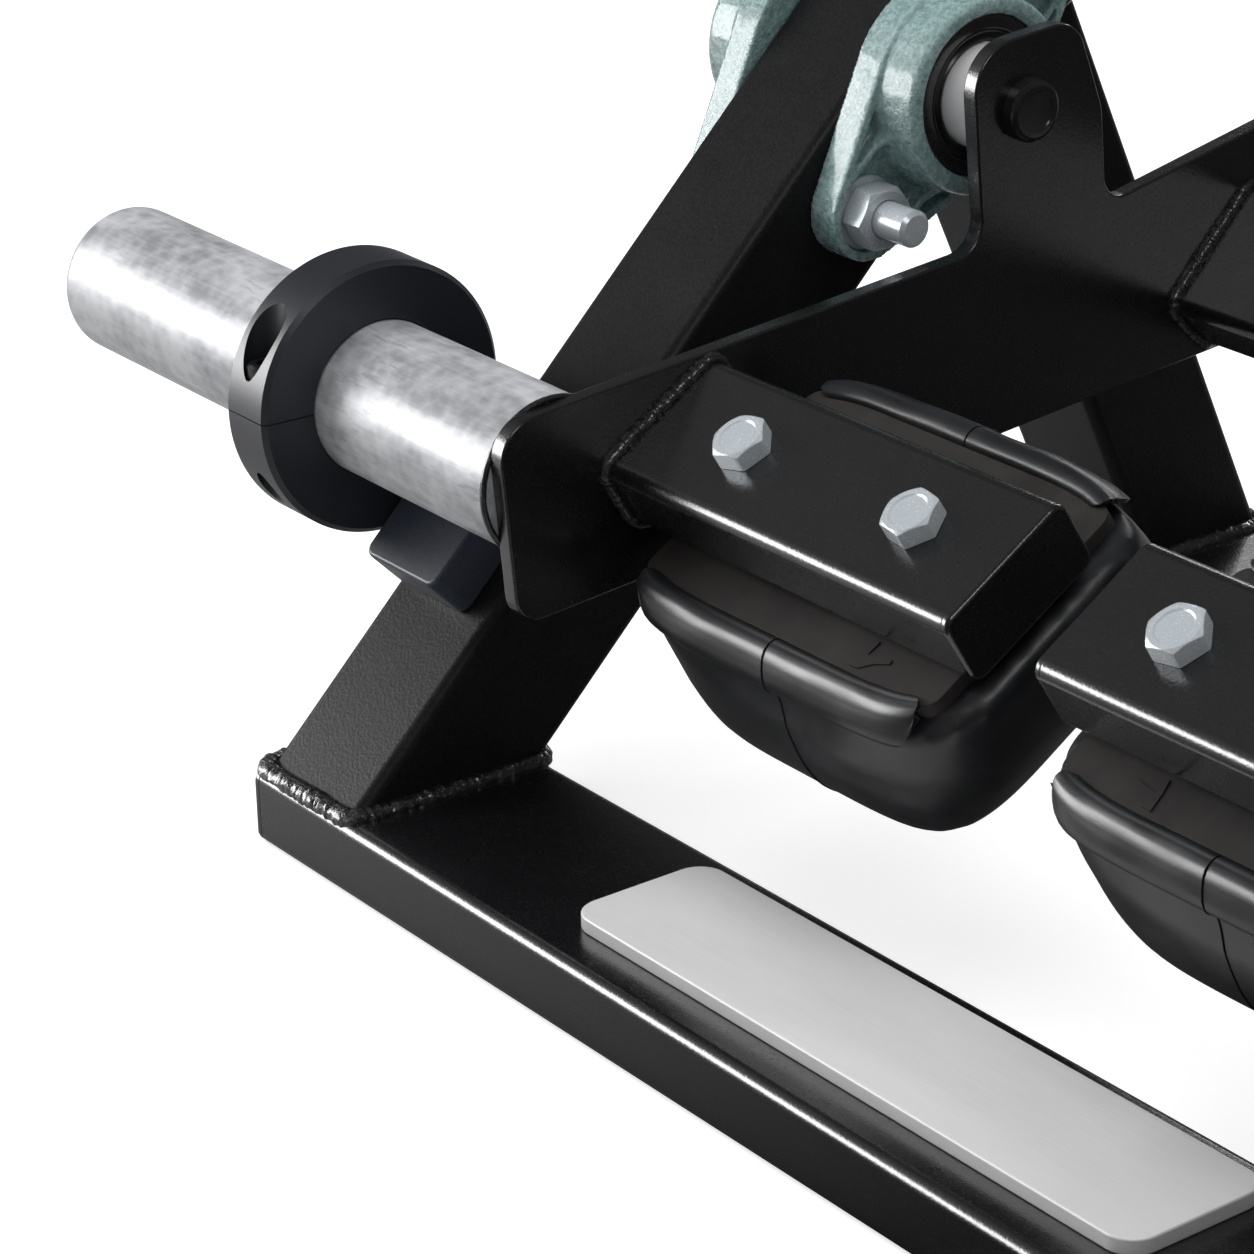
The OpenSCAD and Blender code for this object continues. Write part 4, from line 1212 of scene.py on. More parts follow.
@dataclass
class BaseFrame(Assembly):
    """Flat base bars, their end plates, the foot rest plate and the A-frame legs."""

    bead_r: float = 3.3
    edge: float = 0.7
    top: Shape = field(default_factory=Shape)

    def build(self) -> None:
        """Builds the whole frame."""
        self.bars()
        self.rest_plate()
        for side in SIDES:
            self.legs(side)

    def bars(self) -> None:
        """Builds the two base bar tubes, and all four end plates as one ground and painted piece."""
        s = self.s
        section = box_outline(s.bar_d, s.bar_h, s.bar_corner)
        plates = Shape()
        for name, y in (("front_base_bar", s.front_y), ("rear_base_bar", -s.front_y - s.bar_d)):
            m = shift(0, y + s.bar_d / 2, s.bar_h / 2)
            tube = lie_along_x(prism(section, -s.half + s.end_plate_t, s.half - s.end_plate_t))
            self.shop.piece(name + "_tube", tube.placed(m), SATIN, "frame", (name,))
            for low in (-s.half, s.half - s.end_plate_t):
                plates.join(lie_along_x(prism(section, low, low + s.end_plate_t)).placed(m))
        self.shop.piece("base_end_caps", plates, SATIN, "frame", ("base_end_plates",), bevel=0.9, segments=3)

    def rest_plate(self) -> None:
        """Builds the brushed plate."""
        s = self.s
        outline = box_outline(s.rest_plate_l, s.rest_plate_d, s.rest_plate_corner, 6)
        y = s.front_y + s.rest_plate_setback + s.rest_plate_d / 2
        shape = prism(outline, s.bar_h, s.bar_h + s.rest_plate_t).placed(shift(0, y, 0))
        self.shop.piece("foot_plate", shape, PLATE, "frame", ("foot_rest_plate",), bevel=self.edge, segments=3)

    def leg_blank(self, frame: Matrix, z: float) -> Shape:
        """Long square tube before its ends are cut.

        Args:
            frame: Frame of the leg.
            z: Height of the tube's middle in that frame.

        Returns:
            The blank in the machine's frame.
        """
        s = self.s
        outline = box_outline(s.leg_size, s.leg_size, s.leg_corner)
        blank = prism(outline, -s.leg_size, s.base_d * 1.5)
        stand = Matrix(((1, 0, 0, 0), (0, 0, 1, 0), (0, -1, 0, z), (0, 0, 0, 1)))
        return blank.placed(frame @ stand)

    def legs(self, side: Side) -> None:
        """Builds the two legs of one A-frame, its top plate and their welds.

        Args:
            side: Side of the machine.
        """
        s = self.s
        front, rear = self.places.front_leg(side), self.places.rear_leg(side)
        floor = Vector((0, 0, s.bar_h))
        down = Vector((0, 0, -1))
        rear_out = -(rear.to_3x3() @ Vector((0, 0, 1))).normalized()
        back = rear @ Vector((0, 0, 0))
        inner = rear @ Vector((0, 0, s.apex_plate_t))
        under_out = -(front.to_3x3() @ Vector((0, 0, 1))).normalized()
        under = front @ Vector((0, 0, -s.leg_size))
        front_leg = cut_by_plane(self.leg_blank(front, -s.leg_size / 2), floor, down)
        plate = cut_by_plane(cut_by_plane(front_leg, back, rear_out), inner, -rear_out)
        front_leg = cut_by_plane(front_leg, inner, rear_out)
        rear_leg = cut_by_plane(self.leg_blank(rear, s.leg_size / 2), floor, down)
        rear_leg = cut_by_plane(rear_leg, under, -under_out)
        name = side.value
        self.shop.piece(f"{name}_front_leg_tube", front_leg, POWDER, "frame", (f"{name}_front_leg",))
        self.shop.piece(f"{name}_rear_leg_tube", rear_leg, POWDER, "frame", (f"{name}_rear_leg",))
        self.top.join(plate)
        if side is Side.RIGHT:
            self.shop.piece("apex_caps", self.top, POWDER, "frame", ("apex_plates",), bevel=self.edge)
        beads = Shape()
        for k, (frame, z) in enumerate(((front, -s.leg_size / 2), (rear, s.leg_size / 2))):
            seam = self.seam(frame, z, floor, Vector((0, 0, 1)), grow=1.1)
            beads.join(weld_bead(seam, self.bead_r, True, 3.1 * k + (0 if side is Side.LEFT else 9)))
        top_seam = self.seam(rear, s.leg_size / 2, under + under_out * 0.3, under_out, grow=0.4)
        beads.join(weld_bead(top_seam, self.bead_r * 0.9, True, 5.7))
        self.shop.piece(f"{name}_leg_welds", beads, BEAD, "frame")

    def seam(self, frame: Matrix, z: float, origin: Vector, normal: Vector, grow: float) -> list[Vector]:
        """Line where a leg's outside meets a plane.

        Args:
            frame: Frame of the leg.
            z: Height of the tube's middle in that frame.
            origin: Point on the plane.
            normal: The plane's normal.
            grow: Distance of the line outside the tube.

        Returns:
            Points of the closed line.
        """
        s = self.s
        size = s.leg_size + 2 * grow
        along = (frame.to_3x3() @ Vector((0, 1, 0))).normalized()
        out = []
        for x, y in box_outline(size, size, s.leg_corner + grow, 15):
            p = frame @ Vector((x, 0, z - y))
            out.append(p + along * ((origin - p).dot(normal) / along.dot(normal)))
        return out


@dataclass
class FlangeBearing(Assembly):
    """Cast housing with its races, seal, bolts and nuts."""

    voxel: float = 0.7
    lump: float = 0.07
    waves: tuple[Point2, ...] = ((0.16, 0.7), (0.5, 0.35))
    bare_back: float = 1.2
    boss_root_r: float = 33.0
    rib_w: float = 11.0
    rib_end: float = 9.0
    rib_high: float = 32.0
    wall_z: float = 14.2
    wall_t: float = 2.4
    nut_turn: float = 11.0

    def build(self) -> None:
        """Builds all four bearings and their fasteners."""
        for side in SIDES:
            for face in FACES:
                self.housing(side, face)
        self.races()
        self.fasteners()

    def housing(self, side: Side, face: Face) -> None:
        """Builds one casting with soft edges and an uneven skin.

        Args:
            side: Side of the machine.
            face: Face of the leg.
        """
        name = f"{side.value}_{face.value}"
        obj = self.shop.copy_node(f"{name}_housing", f"{name}_casting", merged=False)
        frame = self.places.leg_face(side, face)
        for k, bar in enumerate(self.middle_ribs()):
            self.shop.cut(obj, bar.placed(frame), f"{name}_bar_{k}")
        self.shop.weld_on(obj, self.seat_walls().placed(frame))
        modify(obj, "REMESH", mode="VOXEL", voxel_size=self.voxel * MM)
        modify(obj, "SMOOTH", factor=0.5, iterations=1)
        self.shop.apply(obj)
        out = (frame.to_3x3() @ Vector((1, 0, 0))).normalized()
        back = (frame @ Vector((0, 0, 0))) * MM
        lumps = []
        for v in obj.data.vertices:
            p = v.co * PER_M
            bare = 0.0 if (v.co - back).dot(out) < self.bare_back * MM else 1.0
            n = sum(noise.noise(p * size) * share for size, share in self.waves)
            lumps.append(v.normal * (n * self.lump * MM * bare))
        for v, move in zip(obj.data.vertices, lumps):
            v.co += move
        self.shop.finish_piece(obj, CAST, "frame", (f"{name}_housing",), sharp=70)

    def middle_ribs(self) -> list[Shape]:
        """The plain middle ribs, which the two walls beside each nut take the place of."""
        s = self.s
        low, high = self.boss_root_r, s.bolt_pitch / 2 - self.rib_end
        rib = lie_along_x(prism(box_outline(high - low, self.rib_w, 0.5), s.web_t, self.rib_high))
        return [rib.placed(shift(y=k * (low + high) / 2)) for k in (-1, 1)]

    def seat_walls(self) -> Shape:
        """Low walls from the boss to each ear, one on each side of the nut's seat."""
        s = self.s
        walls = Shape()
        top = s.flange_t
        near, far = self.boss_root_r - 5.0, s.bolt_pitch / 2 + 1.0
        wall = prism([(near, s.web_t - 1), (far, s.web_t - 1), (far, top - 0.3), (far - 8, top),
                      (near + 6, top + 0.6), (near + 1.5, top + 4.0), (near, top + 4.0)],
                     -self.wall_t / 2, self.wall_t / 2)
        for k in (-1, 1):
            for z in (-1, 1):
                upright = Matrix(((0, 1, 0, 0), (k, 0, 0, 0), (0, 0, 1, z * self.wall_z), (0, 0, 0, 1)))
                walls.join(wall.placed(upright))
        return walls

    def races(self) -> None:
        """Builds the outer races and the seals of all four bearings."""
        s = self.s
        x0, x1 = s.outer_race_x, s.outer_race_x + s.outer_race_w
        r, q = s.outer_race_r, s.inner_race_r
        outer = lathe([
            (q + 0.6, x0), (r - 1, x0), (r, x0 + 1), (r, x1 - 1.2), (r - 0.5, x1 - 0.35), (r - 1.1, x1),
            (r - 4.4, x1), (r - 4.8, x1 - 0.3), (r - 5.0, x1 - 2.6), (q + 0.6, x1 - 2.6)], 144, closed=True)
        seal = lathe([
            (r - 5.0, x1 - 2.4), (r - 5.0, x1 - 0.7), (r - 5.4, x1 - 0.45), (r - 5.9, x1 - 0.6),
            (r - 6.3, x1 - 1.2), (q + 1.6, x1 - 0.9), (q + 1.1, x1 - 0.35), (q + 0.45, x1 - 0.5),
            (q + 0.35, x1 - 2.4)], 144, closed=True)
        races, seals = Shape(), Shape()
        for side in SIDES:
            for face in FACES:
                m = self.places.leg_face(side, face) @ along_x()
                races.join(outer.placed(m))
                seals.join(seal.placed(m))
        self.shop.piece("bearing_outer_rings", races, DARK_PAINTED_RACE, "frame", ("outer_races",))
        self.shop.piece("bearing_seals", seals, SEAL, "frame", ("race_seals",))

    def fasteners(self) -> None:
        """Builds the long bolts with their washers and nuts."""
        s = self.s
        d = s.frame_bolt_d
        flats = 1.55 * d + 0.4
        washer_t, nut_h = 0.17 * d, 0.83 * d
        stack = s.web_t + washer_t
        bolts, washers, nuts = Shape(), Shape(), Shape()
        length = s.leg_size + 2 * stack + nut_h + s.stud_out
        head = hexagon(flats, 0.64 * d, dish=0.5)
        nut = hexagon(flats, nut_h, d / 2 + 0.05, both=True)
        stud = lathe([(0, 0), (d / 2, 0), (d / 2, length - 1.3), (d / 2 - 1.3, length), (0, length)], 64)
        for side in SIDES:
            for k in (-1, 1):
                outer, inner = (self.places.leg_face(side, face) @ shift(0, k * s.bolt_pitch / 2, 0) @ along_x()
                                for face in (Face.OUTER, Face.INNER))
                bolts.join(head.placed(outer @ shift(z=stack)))
                bolts.join(stud.placed(outer @ shift(z=stack) @ Matrix.Scale(-1, 4, (0, 0, 1))))
                turn = Matrix.Rotation(math.radians(self.nut_turn * k), 4, "Z")
                nuts.join(nut.placed(inner @ shift(z=stack) @ turn))
                for m in (inner, outer):
                    washers.join(washer(d, d / 2 + 0.25, washer_t).placed(m @ shift(z=s.web_t)))
        for name, shape, node in (("hex_bolts", bolts, "bolts"), ("plain_washers", washers, "washers"),
                                  ("hex_nuts", nuts, "nuts")):
            self.shop.piece(f"housing_{name}", shape, ZINC, "frame", (f"housing_{node}",), sharp=24)


@dataclass
class WeightArm(ArmAssembly):
    """Side plate, shaft, tubes and horn of one swinging arm."""

    bead_r: float = 2.1
    horn_bead_r: float = 1.1
    ring_turn: float = -120.0
    tube_r: float = 4.4
    rim_r: float = 1.6

    def build(self) -> None:
        """Builds the arm."""
        self.plate()
        self.shaft()
        self.tubes()
        self.horn()
        self.welds()

    def plate(self) -> None:
        """Builds the laser-cut side plate."""
        s = self.s
        low = s.beam_drop + s.beam_h
        outline = rounded([
            (-s.plate_front, -low, 9), (s.plate_rear - 28, -low, 20), (s.plate_rear, -low + 22, 14),
            (s.plate_rear, -s.beam_drop + 10, 14), (s.neck_rear, -s.beam_drop, 8), (s.neck_rear, -8, 18),
            (s.neck_rear - 9, s.neck_top, 12), (-s.neck_front, s.neck_top, 16), (-s.neck_front, -s.beam_drop, 10),
            (-s.plate_front, -s.beam_drop, 13)], 6)
        shape = lie_along_x(prism(outline, s.plate_x, s.tube_x)).placed(self.places.arm(self.side))
        self.piece("arm_plate", shape, SATIN, "side_plate", bevel=0.8, segments=3)

    def shaft(self) -> None:
        """Builds the stepped shaft and the inner races."""
        s = self.s
        tail = s.leg_inset - s.race_reach - 3
        body = s.plate_x - tail
        end = body + s.plate_t + s.shaft_end_out
        r, q = s.shaft_d / 2, s.shaft_end_d / 2
        profile = [(0, 0), (r - 1.6, 0), (r - 0.5, 0.5), (r, 1.6), (r, body), (q, body), (q, end - 1.7),
                   (q - 0.5, end - 0.7), (q - 1.4, end - 0.1), (q - 2.0, end), (q - 3.4, end), (q - 3.8, end - 0.35),
                   (0, end - 0.35)]
        middle = self.places.arm(self.side)
        shape = lathe(profile, 96).placed(middle @ shift(tail) @ along_x())
        self.piece("stub_shaft", shape, SHAFT, "shaft", sharp=28)
        turned = middle @ turn_x(self.ring_turn) @ middle.inverted()
        for node, piece, finish in (("inner_races", "inner_rings", BRIGHT_PAINTED_RACE), ("set_screws", "grub_screws", OXIDE)):
            copy = self.shop.copy_node(f"{self.name}_{node}", f"{self.name}_{piece}")
            for v in copy.data.vertices:
                v.co = (turned @ (v.co / MM)) * MM
            self.shop.finish_piece(copy, finish, self.body, (f"{self.name}_{node}",), bevel=0.3, sharp=40)

    def tube(self, frame: Matrix) -> Shape:
        """Arm tube with its end plate, whose rim is ground round."""
        s = self.s
        join = s.tube_x + s.tube_l
        end = join + s.tube_cap_t
        steps = [(s.tube_x, 0.0), (join - 0.3, 0.0), (join + 0.2, 0.12), (join + 0.6, 0.0)]
        steps += [(end - self.rim_r * (1 - math.sin(a)), self.rim_r * (1 - math.cos(a)))
                  for a in (math.radians(d) for d in range(0, 91, 15))]
        rings = [[Vector((x, y, z)) for y, z in
                  box_outline(s.tube_w - 2 * inset, s.tube_t - 2 * inset, self.tube_r - inset * 0.6)]
                 for x, inset in steps]
        return skin(rings).placed(frame)

    def tubes(self) -> None:
        """Builds the pad tube and the heel tube."""
        self.piece("pad_beam", self.tube(self.places.pad_tube(self.side)), SATIN, "pad_tube", "tube_caps")
        self.piece("heel_beam", self.tube(self.places.heel_tube(self.side)), SATIN, "heel_tube")

    def horn(self) -> None:
        """Builds the horn and its rounded plug."""
        s = self.s
        r, end = s.horn_d / 2, s.horn_l
        profile = [(0, 0), (r, 0), (r, end - 6.2), (r - 0.04, end - 6.0), (r, end - 5.8)]
        profile += [(r - 5 + 5 * math.cos(a), end - 5 + 5 * math.sin(a))
                    for a in (math.radians(d) for d in range(5, 91, 9))]
        profile += [(r * 0.5, end), (0, end)]
        shape = lathe(profile, 160).placed(self.places.horn(self.side))
        self.piece("plate_sleeve", shape, HORN, "weight_horn", "horn_plug")

    def welds(self) -> None:
        """Builds the weld beads where the tubes and the horn meet the side plate."""
        s = self.s
        beads = Shape()
        for k, frame in enumerate((self.places.pad_tube(self.side), self.places.heel_tube(self.side))):
            path = [Vector((s.tube_x + 0.4, y, z))
                    for y, z in box_outline(s.tube_w + 1.2, s.tube_t + 1.2, self.tube_r + 0.6, 15)]
            beads.join(weld_bead(path, self.bead_r, True, 2.3 * k).placed(frame))
        ring = s.horn_d / 2 + 0.1
        path = [polar(ring, a, 0.2) for a in turns(72)]
        beads.join(weld_bead(path, self.horn_bead_r, True, 7.9, rough=0.5).placed(self.places.horn(self.side)))
        self.piece("arm_welds", beads, BEAD)


@dataclass
class FootPad(ArmAssembly):
    """Pad board, cushion, rolled lips and pad bolts of one arm."""

    around: int = 96
    wall_steps: int = 36
    corner_power: float = 5.0
    start_inset: float = 1.1
    cap: float = 1.6
    swell_voxel: float = 4.0
    swell_frames: int = 20
    swell_force: float = 4.0
    lip_seat: float = 2.6
    pinch: float = 2.0
    sheet_t: float = 1.5
    lip_end_r: float = 12.0
    lip_rows: int = 64
    lip_cols: int = 22
    seam_x: float = 1.5
    seam_start: float = 158.0
    seam_turn: float = 224.0
    seam_steps: int = 180
    seam_r: float = 0.30
    lip_seam_r: float = 0.24
    wall_start: float = 7.6
    crown_rings: int = 8

    @property
    def frame(self) -> Matrix:
        """Frame of the pad, its origin on the tube's middle line above the pad's middle."""
        return self.places.pad_tube(self.side) @ shift(self.s.pad_x, self.s.pad_offset, 0)

    @property
    def rim_z(self) -> float:
        """Height of the pad's rim in the pad's frame."""
        s = self.s
        return -s.tube_t / 2 - s.board_t + s.pad_rim - s.rest_gap

    def build(self) -> None:
        """Builds the pad and what holds it."""
        self.board()
        cushion = self.cushion()
        self.lips()
        self.seam(cushion)
        self.bolts()

    def board(self) -> None:
        """Builds the faced board with a torn flap of facing on its front edge."""
        s = self.s
        board_l = s.pad_l - 2 * s.board_setback
        low = -s.tube_t / 2 - s.board_t
        shape = prism(box_outline(board_l, s.board_w, 6), low, low + s.board_t).placed(self.frame)
        self.piece("faced_board", shape, BOARD, "pad_board", bevel=0.6)
        top = low + s.board_t
        tear = [(30, -38.0), (31, -31.5), (32.2, -27.5), (33.0, -28.0), (32.6, -32.6), (36.5, -32.0),
                (41.5, -31.2), (42.0, -32.6), (37, -34.6), (33.4, -37.8)]
        flap = prism(list(reversed(tear)), top - 0.05, top + 0.45)
        for i, p in enumerate(flap.points):
            if p.z > top:
                p.z += 0.35 * noise.noise(Vector((i * 0.7, 0, 0)))
        self.piece("torn_facing", flap.placed(self.frame), BOARD, sharp=50)

    def roll_in(self, depth: float, r: float) -> float:
        """How far a wall has rolled in at a depth below the rim."""
        full = self.s.pad_h + self.s.pad_rim
        u = max(0.0, (depth - (full - r)) / r)
        return r * (1 - math.sqrt(max(0.0, 1 - u * u)))

    def half_sizes(self, depth: float) -> Point2:
        """Half length and half width of the cushion at a depth below its rim."""
        s = self.s
        full = s.pad_h + s.pad_rim
        x = s.pad_l / 2 - s.pad_end_taper * depth / full - self.roll_in(depth, s.pad_end_roll)
        pinch = self.pinch * math.exp(-((depth - 10) / 5) ** 2)
        y = s.pad_w / 2 + s.pad_flare * depth / full - self.roll_in(depth, s.pad_side_roll) - pinch
        return x, y

    def ring(self, a: float, b: float, z: float) -> list[Vector]:
        """Rounded rectangle of points at one height."""
        out = []
        e = 2 / self.corner_power
        for q in turns(self.around):
            x = a * math.copysign(abs(math.cos(q)) ** e, math.cos(q))
            y = b * math.copysign(abs(math.sin(q)) ** e, math.sin(q))
            out.append(Vector((x, y, z)))
        return out

    def hollow(self, p: Vector, step: float, reach: float) -> float:
        """How far the cushion lies lower under a lip.

        Args:
            p: Point of the cushion's upper side.
            step: Its distance in from the wall.
            reach: Half width of its ring.

        Returns:
            The depth in millimetres.
        """
        lip_half = self.s.pad_l / 2 - self.s.lip_setback
        beside = min(1.0, max(0.0, (abs(p.y) / reach - 0.86) / 0.1))
        within = min(1.0, max(0.0, (lip_half + 2 - abs(p.x)) / 9))
        return self.lip_seat * beside * within * max(0.0, math.sin(math.pi * min(1.0, (step - 0.4) / 8.6)))

    def corner_in(self, x: float) -> float:
        """How far the cushion's long side has rounded in at a place along it."""
        a, b = self.half_sizes(8.0)
        share = min(1.0, abs(x) / a)
        return b * (1 - (1 - share ** self.corner_power) ** (1 / self.corner_power))

    def blank(self, inset: float) -> Shape:
        """Closed form of the cushion.

        Args:
            inset: Distance that it is smaller than the finished pad.

        Returns:
            The form, in the pad's frame.
        """
        s = self.s
        full = s.pad_h + s.pad_rim
        board_x = s.pad_l / 2 - s.board_setback + 1.0
        board_y = s.board_w / 2 + 1.0
        pocket_z = -s.tube_t / 2 - s.board_t - 0.8
        rings = [self.ring(board_x, board_y, pocket_z), self.ring(board_x, board_y, self.rim_z - 0.8)]
        a0, b0 = self.half_sizes(0)
        a0, b0 = a0 - inset, b0 - inset
        for step, drop in ((9.5, 0.15), (7.2, 0.7), (5.0, 1.6), (3.2, 2.7), (1.7, 3.9), (0.7, 5.2), (0.2, 6.6)):
            ring = self.ring(a0 - step, b0 - step, self.rim_z - drop)
            for p in ring:
                p.z -= self.hollow(p, step, b0 - step)
            rings.append(ring)
        for k in range(1, self.wall_steps + 1):
            depth = self.wall_start + (full - self.wall_start) * math.sin(math.pi / 2 * k / self.wall_steps)
            a, b = self.half_sizes(depth)
            rings.append(self.ring(a - inset, b - inset, self.rim_z - depth + inset * depth / full))
        a, b = self.half_sizes(full)
        for k in range(1, self.crown_rings):
            t = 1 - k / self.crown_rings
            rings.append(self.ring((a - inset) * t, (b - inset) * t,
                                   self.rim_z - full - s.pad_crown * (1 - t * t) + inset))
        return skin(rings, falling=True)

    def cushion(self) -> bpy.types.Object:
        """Builds the cushion, swollen by a cloth simulation and creased a little.

        Returns:
            The cushion.
        """
        s = self.s
        left = self.places.pad_tube(Side.LEFT) @ shift(s.pad_x, s.pad_offset, 0)
        shape = self.blank(self.start_inset).placed(left)
        obj = self.shop.mesh_object(f"{self.name}_cushion", shape)
        self.swell(obj, left)
        modify(obj, "SUBSURF", levels=1, render_levels=1)
        self.shop.apply(obj)
        at = left.inverted()
        for v in obj.data.vertices:
            p = at @ (v.co * PER_M)
            fold = noise.noise(Vector((p.x * 0.03, p.y * 0.04, p.z * 0.05))) * 0.4
            fold += noise.noise(Vector((p.x * 0.02, 7.0, p.z * 0.12))) * 0.14
            if p.z < self.rim_z - 3:
                v.co += v.normal * (fold * MM)
        if self.side is Side.RIGHT:
            bm = bmesh.new()
            bm.from_mesh(obj.data)
            bmesh.ops.transform(bm, matrix=Matrix.Scale(-1, 4, (1, 0, 0)), verts=bm.verts[:])
            bmesh.ops.reverse_faces(bm, faces=bm.faces[:])
            bm.to_mesh(obj.data)
            bm.free()
        self.shop.finish_piece(obj, VINYL, self.body, (f"{self.name}_pad",), sharp=75)
        return obj

    def swell(self, obj: bpy.types.Object, frame: Matrix) -> None:
        """Blows the cushion up as cloth, with its movement capped, and leaves a smoothing modifier on it.

        Args:
            obj: The cushion, which gets the new mesh.
            frame: Frame of the pad.
        """
        modify(obj, "REMESH", mode="VOXEL", voxel_size=self.swell_voxel * MM)
        self.shop.apply(obj)
        start = [v.co.copy() for v in obj.data.vertices]
        cloth = modify(obj, "CLOTH")
        for key, value in (("use_pressure", True), ("uniform_pressure_force", self.swell_force), ("quality", 5),
                           ("mass", 0.4)):
            setattr(cloth.settings, key, value)
        cloth.settings.effector_weights.gravity = 0.0
        cloth.point_cache.frame_start = 1
        cloth.point_cache.frame_end = self.swell_frames
        scene = bpy.context.scene
        for frame_no in range(1, self.swell_frames + 1):
            scene.frame_set(frame_no)
        self.shop.apply(obj)
        scene.frame_set(1)
        at = frame.inverted()
        full = self.s.pad_h + self.s.pad_rim
        for v, old in zip(obj.data.vertices, start):
            move = v.co - old
            depth = self.rim_z - (at @ (old * PER_M)).z
            cap = self.cap * MM * min(1.0, max(0.15, depth / (0.3 * full)))
            if move.length > cap:
                move *= cap / move.length
            v.co = old + move
        modify(obj, "SMOOTH", factor=0.5, iterations=4)

    def lip_line(self, sign: int) -> list[Point2]:
        """Section of a rolled lip, from its lower edge over its crest to the board.

        Args:
            sign: -1 for the front lip and 1 for the rear one.

        Returns:
            Y and Z of each point in the pad's frame.
        """
        top = -self.s.tube_t / 2
        w = self.s.pad_w / 2
        pts = [(w - 0.2, top - 11.0), (w + 0.55, top - 9.4), (w + 0.55, top - 7.6), (w - 0.1, top - 5.2),
               (w - 1.6, top - 2.4), (w - 3.4, top + 0.1), (w - 5.4, top + 1.7), (w - 7.8, top + 2.2),
               (w - 9.8, top + 1.7), (w - 11.1, top + 0.6), (w - 11.7, top - 0.8)]
        return [(sign * y, z) for y, z in pts]

    def lips(self) -> None:
        """Builds the two rolled lips as thick sheet with rounded ends."""
        s = self.s
        half = s.pad_l / 2 - s.lip_setback
        steps, cols, end_r = self.lip_rows, self.lip_cols, self.lip_end_r
        sheets = Shape()
        for sign in (-1, 1):
            line = self.lip_line(sign)
            lengths = [0.0]
            for a, b in zip(line, line[1:]):
                lengths.append(lengths[-1] + math.hypot(b[0] - a[0], b[1] - a[1]))
            total = lengths[-1]

            def at(dist: float, line: list[Point2] = line, lengths: list[float] = lengths) -> Point2:
                """Point at a distance along the section."""
                k = max(i for i, v in enumerate(lengths[:-1]) if v <= dist + 1e-9)
                f = (dist - lengths[k]) / (lengths[k + 1] - lengths[k])
                return (line[k][0] + f * (line[k + 1][0] - line[k][0]),
                        line[k][1] + f * (line[k + 1][1] - line[k][1]))

            rows: list[list[Vector]] = []
            for i in range(steps + 1):
                t = math.sin(math.pi * (i / steps - 0.5))
                x = half * t
                near = max(0.0, abs(x) - (half - end_r)) / end_r
                bend = 1 - math.sqrt(max(0.0, 1 - near * near))
                low, high = total * 0.56 * bend, total * (1 - 0.36 * bend)
                inward = self.corner_in(x) + 0.3 * near * near
                row = []
                for j in range(cols + 1):
                    y, z = at(low + (high - low) * j / cols)
                    wave = 0.45 * noise.noise(Vector((x * 0.05, sign * 4.0, j * 0.12)))
                    row.append(Vector((x, y - sign * (inward - wave * 0.6), z - 0.5 * near * near + wave)))
                rows.append(row)
            n = cols + 1
            faces = []
            for i in range(steps):
                for j in range(cols):
                    f = (i * n + j, (i + 1) * n + j, (i + 1) * n + j + 1, i * n + j + 1)
                    faces.append(f if sign < 0 else tuple(reversed(f)))
            sheets.add((p for row in rows for p in row), faces)
        obj = self.shop.mesh_object(f"{self.name}_rolled_lips", sheets.placed(self.frame))
        modify(obj, "SOLIDIFY", thickness=self.sheet_t * MM, offset=-1.0)
        modify(obj, "BEVEL", width=0.5 * MM, segments=2, limit_method="ANGLE", angle_limit=math.radians(60))
        self.shop.apply(obj)
        self.shop.finish_piece(obj, VINYL, self.body, sharp=60)

    def seam(self, cushion: bpy.types.Object) -> None:
        """Lays the thin seam round the cushion's middle."""
        tree = BVHTree.FromObject(cushion, bpy.context.evaluated_depsgraph_get())
        frame = self.frame
        turn = frame.to_3x3()
        middle = Vector((self.seam_x, 0, self.rim_z - self.s.pad_h * 0.45))
        path: list[Vector] = []
        for k in range(self.seam_steps + 1):
            a = math.radians(self.seam_start + self.seam_turn * k / self.seam_steps)
            way = (turn @ Vector((0, math.cos(a), math.sin(a)))).normalized()
            start = (frame @ middle) * MM
            hit = tree.ray_cast(start + way * 0.12, -way)
            if hit[0] is not None:
                path.append(hit[0] * PER_M + hit[1] * 0.08)
        if len(path) > 8:
            across = turn @ Vector((1, 0, 0))
            shape = swept(spaced(path, 1.5, False), lambda d: self.seam_r, False, 6, normal=across)
            for sign in (-1, 1):
                over = [frame @ Vector((self.seam_x, y + sign * 0.12, z + 0.12)) for y, z in self.lip_line(sign)]
                shape.join(swept(spaced(over, 1.0, False), lambda d: self.lip_seam_r, False, 6, normal=across))
            self.piece("girth_seam", shape, SEAM, sharp=80)

    def bolts(self) -> None:
        """Builds the two pad bolts."""
        s = self.s
        d = s.pad_bolt_d
        length = s.tube_t + s.board_t + 4
        head = hexagon(1.6 * d, 0.64 * d, dish=0.35)
        stud = lathe([(0, -length), (d / 2 - 1, -length), (d / 2, -length + 1), (d / 2, 0.2), (0, 0.2)], 48)
        shape = Shape()
        base = self.places.pad_tube(self.side)
        for k, turn in ((-1, 14.0), (1, -8.0)):
            m = base @ shift(s.pad_x + k * s.pad_bolt_pitch / 2, 0, s.tube_t / 2)
            shape.join(head.placed(m @ Matrix.Rotation(math.radians(turn), 4, "Z")))
            shape.join(stud.placed(m))
        self.piece("pad_hex_bolts", shape, ZINC, "pad_bolts", sharp=24)


